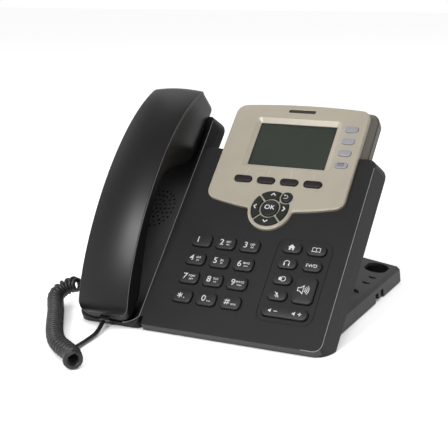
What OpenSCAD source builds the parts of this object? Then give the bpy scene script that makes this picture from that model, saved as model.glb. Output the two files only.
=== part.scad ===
// Desk IP phone on a removable wedge stand, with a corded handset.
// X runs across the phone, +Y to its rear, +Z up; the desk is z = 0.
// Most pieces are drawn in the slope frame: X across, V up the sloping deck, N out of it.

/* [Housing] */
// Width of the housing at its back edge
body_w = 197.6; // [190:0.2:210]
// Length of the key deck up the slope
deck_len = 155; // [150:0.5:160]
// Length of the handset cradle block up the slope
cradle_len = 187; // [183:0.5:190]
// Width of the cradle between its crests
cradle_w = 48.8; // [46:0.2:54]
// Thickness of the housing slab, deck to back
body_t = 16.5; // [15.5:0.1:19]
// Thickness of the upper half of the housing
top_t = 10; // [9.6:0.1:11]
// Slope of the deck from the desk
tilt = 45.6; // [42:0.1:48]
// Height of the deck plane over the desk at its lower edge
front_lift = 2.1; // [1.5:0.1:3]
// How far the walls lean out from the deck to the back
draft = 4.4; // [2:0.1:5]
// Corner radius of the housing at its back edge
body_r = 11; // [9:0.5:14]
// Wall thickness of the mouldings
wall = 2.2; // [1.8:0.1:2.6]
// Depth of the cradle trough
trough_d = 7.5; // [6:0.1:7.7]

/* [Dial keys] */
// Column pitch of the twelve dial keys
dial_px = 19; // [18:0.1:20]
// Row pitch of the dial keys
dial_pv = 15.2; // [14:0.1:16]
// Width of a dial key cap
dial_w = 15.4; // [13:0.1:15.8]
// Height of a dial key cap on the deck
dial_l = 10; // [8:0.1:10.6]
// Middle of the dial key block across the deck
dial_x = 1.5; // [-2:0.5:4]
// Lowest dial row above the deck's lower edge
dial_v = 29.8; // [27:0.1:31]
// How far a key stands above the deck
key_rise = 1.9; // [1.5:0.1:2.4]
// Travel of a key
key_travel = 1.2; // [0.8:0.1:1.5]

/* [Function keys] */
// Column pitch of the function keys
fn_px = 18.4; // [17.4:0.1:19]
// Row pitch of the function keys
fn_pv = 12.5; // [11.6:0.1:13]
// Width of a function key cap
fn_w = 14.4; // [12:0.1:14.8]
// Height of a function key cap on the deck
fn_l = 8; // [6.5:0.1:8.6]
// Left column of the function keys across the deck
fn_x = 52.5; // [51:0.5:54]
// Lowest function row above the deck's lower edge
fn_v = 40.3; // [40:0.1:42]
// Volume rocker width
rocker_w = 33.7; // [30:0.1:35]
// Volume rocker row above the deck's lower edge
rocker_v = 28; // [26:0.1:28]

/* [Display] */
// Width of the display plate
plate_w = 108; // [104:0.5:112]
// Middle of the display plate across the deck
plate_x = 27; // [25:0.5:29]
// Lower edge of the plate above the deck's lower edge
plate_v = 110; // [108:0.5:112]
// Upper edge of the plate at its middle
plate_top = 199; // [197:0.5:201]
// Height of the plate's face over the deck
plate_h = 3; // [2.6:0.1:3.6]
// Thickness of the plate
plate_t = 2.4; // [2:0.1:2.6]
// Radius of the lobe round the navigation keys
lobe_r = 17; // [16.6:0.1:18]
// Centre of the navigation keys above the deck's lower edge
nav_v = 106.6; // [105:0.1:108]
// Outer radius of the four arrow keys
nav_r = 14.3; // [13.8:0.1:14.5]
// Inner radius of the four arrow keys
nav_ri = 8.2; // [7.9:0.1:8.6]
// Radius of the OK key
ok_r = 6.8; // [6:0.1:7]
// Radius of the back key
back_r = 4.3; // [4:0.1:4.5]
// Screen window width
window_w = 61.6; // [58:0.1:63]
// Screen window height on the slope
window_l = 38.2; // [36:0.1:39]
// Middle of the screen window above the deck's lower edge
window_v = 163; // [162:0.1:164]
// Depth of the display pod behind the deck plane
pod_d = 20; // [18:0.5:22]

/* [Handset] */
// Length of the handset
hs_len = 192; // [188:0.5:194]
// Width of the handset
hs_w = 41.2; // [40:0.1:43]
// Height of the crown over the handset's long edges
hs_crown = 2.6; // [2:0.1:5]

/* [Stand] */
// Width of the stand
stand_w = 178; // [170:1:186]
// Depth of the phone from the handset's lower end to the rear of the stand
foot_depth = 192.2; // [188:0.1:198]
// Height of the stand's side walls
stand_h = 10.5; // [9.5:0.1:12]
// Height of the stand's plate along its middle
stand_ridge = 19; // [17:0.1:20]
// Wall thickness of the stand
stand_wall = 2.4; // [2:0.1:3]
// Travel of the stand along the slope to its release
stand_travel = 8; // [7:0.1:9]

/* [Cord] */
// Outer diameter of the curly part of the cord
coil_d = 12.6; // [12:0.1:13]
// Diameter of the cord itself
cord_d = 3.2; // [3:0.1:3.4]

/* [Clearances] */
// Gap round a key in its opening
key_gap = 0.3; // [0.25:0.05:0.4]
// Gap between pieces that lie on one another but move apart
seat_gap = 0.3; // [0.25:0.05:0.4]
// Gap round a fixed piece in its pocket
fit_gap = 0.15; // [0.1:0.05:0.2]

/* [Hidden] */
$fn = 40;
e = 0.01; // sliver that makes cuts break through
key_floor = -wall - seat_gap; // top of a key's flange
flange_t = 0.8;
key_foot = key_floor - flange_t; // underside of a key
mat_top = key_foot - key_travel - seat_gap;
mat_t = 1.1;
board_t = 1.6;
board_top = mat_top - mat_t;
floor_n = -body_t + wall; // inside of the back floor
back_v = -0.9; // lower edge of the outline at its back edge
crest_x = body_w / 2 - draft; // right and left crests of the deck
cradle_x = -crest_x + cradle_w / 2; // middle of the cradle
cradle_right = -crest_x + cradle_w; // crest between cradle and deck
hs_v0 = 4; // lower end of the handset
hs_end_n = 8; // height of its edge there
slope_y = -foot_depth / 2 - hs_v0 * cos(tilt) + hs_end_n * sin(tilt); // where the deck plane's lower edge lies
sole_z = 0.6; // flat underside of the front lip
main_x0 = cradle_right + 7;
main_x1 = crest_x - 2.4;
main_v0 = 16;
main_v1 = deck_len - 3;
pod_v = deck_len + 1.8; // lower edge of the free part of the pod
pod_grow = 4; // how far the pod stands out behind its plate
pod_x = plate_w / 2 + pod_grow; // half width of the pod
frame_x = plate_w / 2 - 3; // half width of the pod's frame in the deck
frame_v = nav_v + 17.1; // lower edge of that frame
lcd_n = key_foot - key_travel - seat_gap; // top of the display's board, clear of the pressed keys
lcd_t = 1.6;
housing_d = lcd_t - lcd_n + fit_gap; // depth of the pod's front frame
back_d = 14; // depth where the pod's back starts to taper
trough_r = (pow(cradle_w / 2, 2) + pow(trough_d, 2)) / (2 * trough_d);
trough_v = 3.2; // where the trough begins behind its lip
trough_end_r = 16; // rounding of its lower end
soft_v = nav_v + 23.1;
soft_px = 18.4;
soft_w = 14;
soft_l = 5.5;
line_x = plate_x + 43;
line_v = 148;
line_pv = 10.5;
line_w = 10;
line_l = 5.2;
lamp_w = 22;
lamp_l = 3;
lamp_v = plate_top - 6;
speaker_v = 103;
speaker_r = 17;
hook_v = 176;
hook_w = 9;
hook_l = 5;
ear_bottom = -4; // underside of the earpiece lobe
mouth_bottom = -2; // underside of the mouthpiece end
jack_v = 35; // handset jack on the left side
jack_n = floor_n + 3;
hood_w = 74;
hood_v = 128;
hood_l = 23;
hood_n = -29.5;
screw_at = [[cradle_right + 4, 30], [main_x1 - 5, 24], [cradle_right + 4, 138], [main_x1 - 5, 146],
    [-crest_x + 6, 60], [-crest_x + 6, 170]];
hook_at = [[-28, 60], [34, 60], [-28, 108], [34, 108]];
fn_rows = 4;
mic_v = hs_v0 + 23;
ear_v = hs_v0 + 166;

case_col = [0.2, 0.2, 0.21];
handset_col = [0.16, 0.16, 0.165];
key_col = [0.24, 0.24, 0.25];
plate_col = [0.72, 0.69, 0.6];
frame_col = [0.42, 0.4, 0.36];
rubber_col = [0.12, 0.12, 0.12];

// ---- frames and helpers ----
function wy(v, n) = slope_y + v * cos(tilt) - n * sin(tilt);
function wz(v, n) = front_lift + v * sin(tilt) + n * cos(tilt);
module on_slope() { translate([0, slope_y, front_lift]) rotate([tilt, 0, 0]) children(); }
module at(x, v, n = 0) { translate([x, v, n]) children(); }
module box(x0, x1, v0, v1, n0, n1) { translate([x0, v0, n0]) cube([x1 - x0, v1 - v0, n1 - n0]); }

function corner(c, r, a0, steps) = [for (i = [0:steps]) c + r * [cos(a0 + i * 90 / steps), sin(a0 + i * 90 / steps)]];
// counter-clockwise rounded rectangle, radii from the lower left corner round
function round_rect(x0, x1, v0, v1, r, steps = 5) = concat(
    corner([x0 + r[0], v0 + r[0]], r[0], 180, steps), corner([x1 - r[1], v0 + r[1]], r[1], 270, steps),
    corner([x1 - r[2], v1 - r[2]], r[2], 0, steps), corner([x0 + r[3], v1 - r[3]], r[3], 90, steps));
function lift(ring, n) = [for (p = ring) [p[0], p[1], n]];

// solid through rings of equal length; flip when the rings run clockwise seen from the far end
module skin(rings, flip = false) {
    m = len(rings[0]);
    k = len(rings);
    first = [for (i = [0:m - 1]) i];
    last = [for (i = [m - 1:-1:0]) (k - 1) * m + i];
    sides = [for (j = [0:k - 2], i = [0:m - 1], s = [0, 1]) let (a = j * m + i, b = j * m + (i + 1) % m)
        s == 0 ? [a, a + m, b + m] : [a, b + m, b]];
    faces = concat([first], [last], sides);
    polyhedron(points = [for (r = rings, p = r) p],
        faces = flip ? [for (f = faces) [for (i = [len(f) - 1:-1:0]) f[i]]] : faces, convexity = 6);
}

// flat rounded rectangle round its own middle
module pill(w, l, r) {
    c = min(r, min(w, l) / 2 - 0.01);
    square([w - 2 * c, l], center = true);
    square([w, l - 2 * c], center = true);
    for (sx = [-1, 1], sy = [-1, 1]) translate([sx * (w / 2 - c), sy * (l / 2 - c)]) circle(c);
}
module slab(n0, n1) { translate([0, 0, n0]) linear_extrude(n1 - n0) children(); }

// ---- housing ----
function lean(n) = draft * (body_t + n) / body_t; // how far the wall has come in at height n
function lobe_ring(x0, x1, v0, v1, r, n, ease, left) = let (s = lean(n) + ease)
    lift(round_rect(x0 + (left ? s : 0), x1 - s, v0 + s, v1 - s, [for (q = r) max(q - s, 0.8)]), n);
module lobe(x0, x1, v0, v1, r, left, levels) {
    skin([for (l = levels) lobe_ring(x0, x1, v0, v1, r, l[0], l[1], left)]);
}
module outline(levels) {
    half = body_w / 2;
    lobe(-half, cradle_right + draft, back_v, cradle_len + draft, [body_r, body_r - 3, body_r, body_r], true, levels);
    lobe(cradle_right + draft - 1, half, back_v, deck_len + 2 + draft, [5.5, body_r, body_r, 1], false, levels);
    box(cradle_right - 8, cradle_right + 8, back_v + 11, deck_len, levels[0][0], levels[len(levels) - 1][0]);
}
module pod_notch() { box(plate_x - pod_x - fit_gap, plate_x + pod_x + fit_gap, pod_v - 0.2, cradle_len + 30,
    -body_t - 20, 20); }
module under_desk(top = sole_z) { translate([-body_w, -200, -60 + top]) cube([2 * body_w, 260, 60]); }
// recess for the handset; its lower end is rounded off behind a lip, its floor stays closed over the desk
module trough() {
    l = cradle_len + 30;
    difference() {
        intersection() {
            at(cradle_x, 0, trough_r - trough_d) rotate([-90, 0, 0]) cylinder(r = trough_r, h = l, $fn = 180);
            at(cradle_x, trough_v + l / 2) slab(-top_t, top_t) pill(cradle_w + 6, l, trough_end_r);
        }
        rotate([-tilt, 0, 0]) translate([0, -slope_y, -front_lift]) under_desk(sole_z + 1.2);
    }
}

function dial_at(i) = [dial_x + (i % 3 - 1) * dial_px, dial_v + (3 - floor(i / 3)) * dial_pv];
function fn_at(c, r) = [fn_x + c * fn_px, fn_v + (fn_rows - 1 - r) * fn_pv];
speaker_key_at = [fn_x + fn_px, fn_v + fn_pv / 2];
speaker_key_l = fn_pv + fn_l;
rocker_at = [fn_x + fn_px / 2, rocker_v];
fn_small = [[0, 0], [1, 0], [0, 1], [1, 1], [0, 2], [0, 3]];
function soft_at(i) = [plate_x - 1 + (i - 1.5) * soft_px, soft_v];
function line_at(i) = [line_x, line_v + i * line_pv];
back_at = [plate_x + nav_r * 0.72, nav_v + nav_r * 0.7];

module deck_holes() {
    g = 2 * key_gap;
    for (i = [0:11]) at(dial_at(i)[0], dial_at(i)[1]) slab(-wall - 1, 1) pill(dial_w + g, dial_l + g, 3.5);
    for (k = fn_small) at(fn_at(k[0], k[1])[0], fn_at(k[0], k[1])[1]) slab(-wall - 1, 1) pill(fn_w + g, fn_l + g, 4);
    at(speaker_key_at[0], speaker_key_at[1]) slab(-wall - 1, 1) pill(fn_w + 1 + g, speaker_key_l + g, 3.5);
    at(rocker_at[0], rocker_at[1]) slab(-wall - 1, 1) pill(rocker_w + g + 0.3, fn_l + g, 4);
    at(plate_x, nav_v) slab(-wall - 1, 1) circle(nav_r + 1.1);
    at(back_at[0], back_at[1]) slab(-wall - 1, 1) circle(back_r + 1);
    box(plate_x - frame_x, plate_x + frame_x, frame_v, pod_v + 9, -top_t - 1, 1);
}
// shallow frame line round the function keys
module fn_groove() {
    h = fn_v + (fn_rows - 1) * fn_pv + fn_l / 2 + 3.6 - (rocker_v - fn_l / 2 - 3.6);
    at(rocker_at[0], rocker_v - fn_l / 2 - 3.6 + h / 2) slab(-0.4, 1) difference() {
        pill(rocker_w + 8, h, 7);
        pill(rocker_w + 7, h - 1, 6.5);
    }
}
module grille(n0, n1) {
    at(cradle_x, speaker_v) slab(n0, n1) {
        circle(0.9);
        for (k = [1:4], i = [0:6 * k - 1]) rotate(i * 60 / k) translate([k * 3.9, 0]) circle(0.8);
    }
}
module top_case() {
    color(case_col) difference() {
        on_slope() difference() {
            union() {
                difference() {
                    outline([[-top_t, 0], [-0.5, 0], [0, 0.45]]);
                    trough();
                    box(main_x0, main_x1, 12, main_v1, -top_t - 1, -wall);
                }
                // rests for the two ends of the handset
                at(cradle_x, hs_v0 + 10) slab(-top_t, mouth_bottom - seat_gap) pill(26, 13, 3);
                at(cradle_x, ear_v - 1) slab(-top_t, ear_bottom - seat_gap) pill(26, 30, 4);
                for (p = [screw_at[1], screw_at[3]]) at(p[0], p[1]) slab(-top_t, -wall + e) circle(3.6);
            }
            box(-body_w, cradle_x - 12, jack_v - 6, jack_v + 6, -top_t - 1, jack_n + 3.2);
            deck_holes();
            fn_groove();
            grille(-top_t - 1, 0);
            at(cradle_x, hook_v) slab(-top_t - 1, 0) pill(hook_w + 2 * key_gap, hook_l + 2 * key_gap, 1.2);
            for (p = screw_at) at(p[0], p[1], -top_t - 1) cylinder(d = 2.8, h = top_t - 5.2);
            pod_notch();
        }
        under_desk();
    }
}
module socket_hood() {
    box(-hood_w / 2, hood_w / 2, hood_v, hood_v + hood_l, hood_n, -body_t + 0.8);
}
module bottom_case() {
    color(case_col) difference() {
        on_slope() difference() {
            union() {
                difference() {
                    outline([[-body_t, 0.9], [-body_t + 0.9, 0], [-top_t, 0]]);
                    box(main_x0, main_x1 + 1, main_v0, main_v1, floor_n, 0);
                    box(-crest_x + 1, cradle_right + 1, main_v0, cradle_len - 6, floor_n, 0);
                }
                socket_hood();
                for (p = screw_at) at(p[0], p[1]) slab(-body_t + 1, -top_t) circle(4);
            }
            box(-hood_w / 2 + wall, hood_w / 2 - wall, hood_v - 1, hood_v + hood_l - wall, hood_n + wall, floor_n + e);
            box(-body_w, -crest_x + 2, jack_v - 6, jack_v + 6, floor_n, 0);
            for (h = hook_at) box(h[0] - 5 - seat_gap, h[0] + 5 + seat_gap,
                h[1] - stand_travel - 3.6 - seat_gap, h[1], -body_t - 1, floor_n + 1);
            for (p = screw_at) at(p[0], p[1], -body_t - 1) {
                cylinder(d = 3.2, h = body_t);
                cylinder(d = 6.2, h = 3.4);
            }
            pod_notch();
        }
        under_desk();
        for (s = [-1, 1]) translate([s * 62 - 18, foot_y, 0]) cube([36, 6, 1.6]);
    }
}
foot_y = wy(11, -13.3) - 3;
module front_feet() {
    color(rubber_col) for (s = [-1, 1]) translate([s * 62 - 18 + fit_gap, foot_y + fit_gap, 0])
        cube([36 - 2 * fit_gap, 6 - 2 * fit_gap, 1.6]);
}
module case_screws() {
    color("silver") on_slope() for (p = screw_at) at(p[0], p[1]) difference() {
        union() {
            slab(-body_t + 0.4, -body_t + 2.4) circle(2.8);
            slab(-body_t + 2.3, -6.5) circle(1.3);
        }
        slab(-body_t, -body_t + 1.4) { square([3, 0.7], center = true); square([0.7, 3], center = true); }
    }
}

// ---- display pod ----
module plate2d(inset = 0) {
    r = 190;
    R = 600;
    offset(r = -3) offset(delta = 3) union() {
        offset(r = 8) offset(delta = -8 - inset) intersection() {
            translate([plate_x - plate_w / 2, plate_v - 20]) square([plate_w, plate_top - plate_v + 20]);
            translate([plate_x, plate_v - 4.6 + r]) circle(r, $fn = 360);
            translate([plate_x, plate_top - R]) circle(R, $fn = 720);
        }
        translate([plate_x, nav_v]) circle(lobe_r - inset, $fn = 72);
    }
}
// one quarter of the ring of arrow keys, widened on all sides by grow
module arc_key2d(a, grow = 0) {
    side = 2 * nav_r;
    half_slit = 0.9 - grow; // half of the slit to the next key
    difference() {
        circle(nav_r + grow, $fn = 72);
        circle(nav_ri - grow, $fn = 72);
        rotate(a + 45) translate([-side, -half_slit]) square([2 * side, side]);
        rotate(a - 45) translate([-side, half_slit - side]) square([2 * side, side]);
        translate([back_at[0] - plate_x, back_at[1] - nav_v]) circle(back_r + 1.5 - grow);
    }
}
module plate_holes() {
    for (a = [0:90:270]) at(plate_x, nav_v) slab(-1, 9) arc_key2d(a, key_gap);
    at(plate_x, nav_v) slab(-1, 9) circle(ok_r + key_gap);
    at(back_at[0], back_at[1]) slab(-1, 9) circle(back_r + key_gap);
    for (i = [0:3]) at(soft_at(i)[0], soft_at(i)[1]) slab(-1, 9) pill(soft_w + 2 * key_gap, soft_l + 2 * key_gap, 4);
    for (i = [0:3]) at(line_at(i)[0], line_at(i)[1]) slab(-1, 9) pill(line_w + 2 * key_gap, line_l + 2 * key_gap, 4);
    at(plate_x, lamp_v) slab(-1, 9) pill(lamp_w, lamp_l, 1.4);
}
window_slope = 4;
module window_cut() {
    w = window_w / 2;
    l = window_l / 2;
    z1 = plate_h + e;
    z0 = plate_h - plate_t + 0.4;
    at(plate_x, window_v) {
        box(-w, w, -l, l, -1, plate_h);
        skin([lift(round_rect(-w, w, -l, l, [1, 1, 1, 1]), z0),
            lift(round_rect(-w - window_slope, w + window_slope, -l - window_slope, l + window_slope, [4, 4, 4, 4]), z1)]);
    }
}
module display_bezel() {
    color(plate_col) on_slope() difference() {
        union() {
            slab(0, plate_h - 0.6) plate2d();
            slab(plate_h - 0.6, plate_h) plate2d(0.6);
        }
        slab(-1, plate_h - plate_t) plate2d(1.6);
        plate_holes();
        window_cut();
    }
}
module pod2d(grow) {
    offset(r = 8) offset(delta = grow - 8) intersection() {
        translate([plate_x - plate_w / 2, pod_v - 60]) square([plate_w, plate_top - pod_v + 60]);
        translate([plate_x, plate_top - 600]) circle(600, $fn = 720);
    }
}
module pod_block(n0, g0, n1, g1) {
    difference() {
        hull() {
            slab(n0, n0 + 0.2) pod2d(g0);
            slab(n1 - 0.2, n1) pod2d(g1);
        }
        box(-body_w, body_w, 0, pod_v, -60, 60);
    }
}
module display_housing() {
    x0 = plate_x - frame_x + fit_gap;
    x1 = plate_x + frame_x - fit_gap;
    color(frame_col) on_slope() difference() {
        union() {
            pod_block(-housing_d, pod_grow - 0.6, 0, -0.3);
            box(x0, x1, frame_v + fit_gap, pod_v + 1, -housing_d, 0);
        }
        box(x0 + 1.8, x1 - 1.8, frame_v + fit_gap + 1.8, plate_top - 4, -housing_d - 1, 1);
    }
}
module display_back() {
    x = plate_w / 2 - 1.5;
    color([0.17, 0.165, 0.16]) on_slope() difference() {
        union() {
            pod_block(-pod_d, 1.5, -back_d + e, pod_grow);
            pod_block(-back_d, pod_grow, -housing_d, pod_grow);
        }
        box(plate_x - x, plate_x + x, pod_v + wall, plate_top - 3, -pod_d + wall, 0);
        for (i = [0:7], s = [-1, 1]) box(plate_x + s * 30 + (i - 3.5) * 4 - 0.8, plate_x + s * 30 + (i - 3.5) * 4 + 0.8,
            pod_v + 12, pod_v + 28, -pod_d - 1, -pod_d + wall + 1);
    }
}
module display_lens() {
    color([0.2, 0.26, 0.2, 0.6]) on_slope() at(plate_x, window_v)
        slab(0, plate_h - plate_t) square([window_w + 4, window_l + 3], center = true);
}
module lcd_module() {
    color([0.25, 0.33, 0.25]) on_slope() {
        box(plate_x - frame_x + 2.6, plate_x + frame_x - 2.6, frame_v + fit_gap + 2.2, plate_top - 5, lcd_n - lcd_t, lcd_n);
        at(plate_x, window_v) slab(lcd_n, 0) square([window_w + 8, window_l + 6], center = true);
    }
}
module message_lamp() {
    color([0.25, 0.1, 0.1]) on_slope() at(plate_x, lamp_v) slab(plate_h - plate_t, plate_h - 0.2)
        pill(lamp_w - 0.2, lamp_l - 0.2, 1.3);
    color([0.25, 0.1, 0.1]) on_slope() at(plate_x, lamp_v) slab(0.05, plate_h - plate_t) square([lamp_w + 3, 2.6], center = true);
}

// ---- inside the housing ----
module keypad_mat() {
    color([0.5, 0.5, 0.52]) on_slope() box(dial_x - 32, main_x1 - 11, 18, frame_v - 0.4, mat_top - mat_t, mat_top);
}
module main_board() {
    color([0.1, 0.35, 0.2]) on_slope() difference() {
        box(dial_x - 34, main_x1 - 2, 17.5, main_v1 - 1, board_top - board_t, board_top);
        for (p = [screw_at[1], screw_at[3]]) at(p[0], p[1], -20) cylinder(r = 4.4, h = 20);
        box(plate_x - frame_x - 0.2, plate_x + frame_x + 0.2, frame_v, pod_v, -20, 0);
    }
}
module ringer_speaker() {
    color([0.3, 0.3, 0.32]) on_slope() at(cradle_x, speaker_v) difference() {
        union() {
            slab(-top_t - 1.4, -top_t) circle(speaker_r + 2);
            slab(floor_n, -top_t - 1.3) circle(speaker_r - 4);
        }
        slab(-top_t - 0.8, -top_t + 1) difference() { circle(speaker_r); circle(6); }
    }
}
module hook_switch() {
    color(key_col) on_slope() at(cradle_x, hook_v) {
        slab(floor_n + 0.3, floor_n + 1.1) pill(hook_w + 3, hook_l + 3, 1.5);
        slab(floor_n + 1, ear_bottom - seat_gap) pill(hook_w, hook_l, 1);
    }
}
module socket(w, h, depth) { translate([-w / 2, -1, -h / 2]) cube([w, depth + 1, h]); }
module jack_block() {
    g = fit_gap;
    color([0.08, 0.08, 0.09]) on_slope() {
        difference() {
            box(-hood_w / 2 + wall + g, hood_w / 2 - wall - g, hood_v + 1.5, hood_v + hood_l - wall, hood_n + wall + g, floor_n + 1.5);
            for (x = [-9, 8]) at(x, hood_v + 1.5, hood_n + 8.2) socket(11.8, 8.3, 14);
            at(-24, hood_v + 1.5, hood_n + 8.2) socket(7.8, 6.4, 12);
            at(24, hood_v, hood_n + 8.2) rotate([-90, 0, 0]) cylinder(d = 5.8, h = 12);
        }
        difference() {
            box(-crest_x - 2, cradle_x - 12.3, jack_v - 5.8, jack_v + 5.8, floor_n, jack_n + 3);
            box(-body_w, -crest_x + 9.5, jack_v - 3.9, jack_v + 3.9, jack_n - 2.2, jack_n + 2.2);
        }
    }
}

// ---- keys ----
module key(x, v, w, l, r, top, foot = key_foot) {
    at(x, v) {
        slab(foot, foot + flange_t) pill(w + 1.6, l + 1.6, r + 0.6);
        slab(foot + flange_t - 0.1, top - 0.5) pill(w, l, r);
        slab(top - 0.5, top) pill(w - 0.8, l - 0.8, r - 0.4);
    }
}
module dial_key(i) { color(key_col) on_slope() key(dial_at(i)[0], dial_at(i)[1], dial_w, dial_l, 3.5, key_rise); }
module fn_key(c, r) { color(key_col) on_slope() key(fn_at(c, r)[0], fn_at(c, r)[1], fn_w, fn_l, 3.9, key_rise); }
module speaker_key() {
    color(key_col) on_slope() key(speaker_key_at[0], speaker_key_at[1], fn_w + 1, speaker_key_l, 3.5, key_rise);
}
module volume_rocker() {
    color(key_col) on_slope() at(rocker_at[0], rocker_at[1]) {
        slab(key_foot - 0.6, key_foot + 0.2) pill(rocker_w + 1.4, fn_l + 1.4, 4.4);
        slab(key_foot, key_rise - 0.5) pill(rocker_w, fn_l, 3.9);
        translate([0, 0, key_foot]) rotate([90, 0, 0]) cylinder(r = pivot_r, h = fn_l + 3, center = true);
        slab(key_rise - 0.5, key_rise) pill(rocker_w - 0.8, fn_l - 0.8, 3.5);
    }
}
plate_under = plate_h - plate_t; // underside of the plate's web
plate_key_top = plate_h + key_rise - 0.5;
nav_flange = 0.25; // how far a navigation key's flange stands out; the keys are close together
pivot_r = 0.8; // pivot of the volume rocker
module plate_key(x, v, w, l, r) {
    color(key_col) on_slope() {
        at(x, v) slab(plate_under - seat_gap - flange_t, plate_under - seat_gap) pill(w + 1.4, l + 1.4, r + 0.6);
        at(x, v) slab(plate_under - seat_gap - 0.1, plate_key_top - 0.5) pill(w, l, r);
        at(x, v) slab(plate_key_top - 0.5, plate_key_top) pill(w - 0.8, l - 0.8, r - 0.4);
        at(x, v) slab(key_foot, plate_under - seat_gap - flange_t + 0.1) pill(w / 2, l / 2, 1);
    }
}
module soft_key(i) { plate_key(soft_at(i)[0], soft_at(i)[1], soft_w, soft_l, 2.7); }
module line_key(i) { plate_key(line_at(i)[0], line_at(i)[1], line_w, line_l, 2.5); }
module nav_key(a) {
    color(key_col) on_slope() at(plate_x, nav_v) {
        slab(plate_under - seat_gap - flange_t, plate_under - seat_gap) arc_key2d(a, nav_flange);
        slab(plate_under - seat_gap - 0.1, plate_key_top - 0.4) arc_key2d(a);
        slab(plate_key_top - 0.4, plate_key_top) arc_key2d(a, -0.35);
        rotate(a) at((nav_r + nav_ri) / 2, 0) slab(key_foot, plate_under - seat_gap - flange_t + 0.1) circle(1.5);
    }
}
module round_key(x, v, r) {
    color(key_col) on_slope() at(x, v) {
        slab(plate_under - seat_gap - flange_t, plate_under - seat_gap) circle(r + nav_flange);
        slab(plate_under - seat_gap - 0.1, plate_key_top - 0.4) circle(r);
        slab(plate_key_top - 0.4, plate_key_top) circle(r - 0.4);
        slab(key_foot, plate_under - seat_gap - flange_t + 0.1) circle(1.8);
    }
}

// ---- handset ----
function smooth(a, b, v) = let (t = min(max((v - a) / (b - a), 0), 1)) t * t * (3 - 2 * t);
function bezier(p, t) = pow(1 - t, 3) * p[0] + 3 * pow(1 - t, 2) * t * p[1] + 3 * (1 - t) * t * t * p[2] + pow(t, 3) * p[3];
hs_v1 = hs_v0 + hs_len;
// long edge of the handset, seen from its side
hs_edge = [[hs_v0, hs_end_n], [hs_v0 + 28, 34], [hs_v1 - 57, 58], [hs_v1, 22]];
end_r = 6; // rounding of the ends in plan
top_r = 8; // rounding over the earpiece end
function end_round(r, d) = d < r ? r - sqrt(max(r * r - pow(r - d, 2), 0)) : 0;
function hs_half(v) = hs_w / 2 - end_round(end_r, v - hs_v0) - end_round(end_r, hs_v1 - v);
function hs_under(v) = mouth_bottom + 29 * sin(90 * min(max((v - 24) / 84, 0), 1))
    - (29 + mouth_bottom - ear_bottom) * smooth(ear_v - 62, ear_v - 19, v);
hs_steps = 30;
hs_stations = [for (i = [0:hs_steps]) bezier(hs_edge, (1 - cos(180 * i / hs_steps)) / 2)];
function hs_part(s) = s[1] - end_round(top_r, hs_v1 - s[0]) - 2; // parting line between the shells
function back_ring(s, k = 10) = let (w = hs_half(s[0]), p = hs_part(s), c = hs_crown * min(1, w / 14))
    [for (q = concat([[w, p], [w, p + 1.2], [w - 0.8, p + 2]],
        [for (i = [1:k - 1]) let (x = (w - 0.8) * cos(180 * i / k)) [x, p + 2 + c * (1 - pow(x / w, 2))]],
        [[-w + 0.8, p + 2], [-w, p + 1.2], [-w, p]])) [q[0], s[0], q[1]]];
function front_ring(s, k = 4) = let (w = hs_half(s[0]) - 0.3, p = hs_part(s), b = hs_under(s[0]),
        r = min(6.5, (p - b) * 0.8, w - 2))
    [for (q = concat([[-w, p], [-w, b + r]], [for (i = [1:k]) [-w + r - r * cos(90 * i / k), b + r - r * sin(90 * i / k)]],
        [for (i = [0:k]) [w - r + r * sin(90 * i / k), b + r - r * cos(90 * i / k)]], [[w, p]])) [q[0], s[0], q[1]]];
module handset_back_shell() {
    color(handset_col) on_slope() at(cradle_x, 0) skin([for (s = hs_stations) back_ring(s)], flip = true);
}
module handset_front_shell() {
    color(handset_col) on_slope() at(cradle_x, 0) difference() {
        skin([for (s = hs_stations) front_ring(s)], flip = true);
        box(-3.9, 3.9, hs_v0 - 1, hs_v0 + 12, plug_n - 2.2, plug_n + 2.2);
        at(0, ear_v, ear_bottom + 2) cylinder(d = 30.4, h = 8.2);
        at(0, mic_v, mouth_bottom + 2) cylinder(d = 10.4, h = 5.2);
        for (i = [0:5]) at(0, ear_v, ear_bottom - 1) rotate(i * 60) translate([5, 0]) cylinder(d = 2, h = 3.5, $fn = 20);
        at(0, ear_v, ear_bottom - 1) cylinder(d = 2, h = 3.5, $fn = 20);
        for (s = [-3, 0, 3]) at(s, mic_v, mouth_bottom - 1) cylinder(d = 1.5, h = 3.5, $fn = 20);
    }
}
plug_n = 2.6;
module earpiece_capsule() {
    color([0.3, 0.3, 0.32]) on_slope() at(cradle_x, ear_v) difference() {
        slab(ear_bottom + 2, ear_bottom + 10) circle(15);
        slab(ear_bottom + 1, ear_bottom + 3) difference() { circle(12); circle(4); }
    }
}
module handset_microphone() {
    color([0.6, 0.6, 0.62]) on_slope() at(cradle_x, mic_v) slab(mouth_bottom + 2, mouth_bottom + 7) circle(5);
}
module plug_body(w, h, l) {
    translate([-w / 2, 0, -h / 2]) cube([w, l, h]);
}
module handset_plug() {
    color([0.75, 0.75, 0.7]) on_slope() at(cradle_x, hs_v0 - 3, plug_n) plug_body(7.4, 4, 14.6);
}
module base_plug() {
    color([0.75, 0.75, 0.7]) on_slope() at(-crest_x - 5.6, jack_v, jack_n) rotate([0, 0, -90]) plug_body(7.4, 4, 14.6);
}

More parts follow.
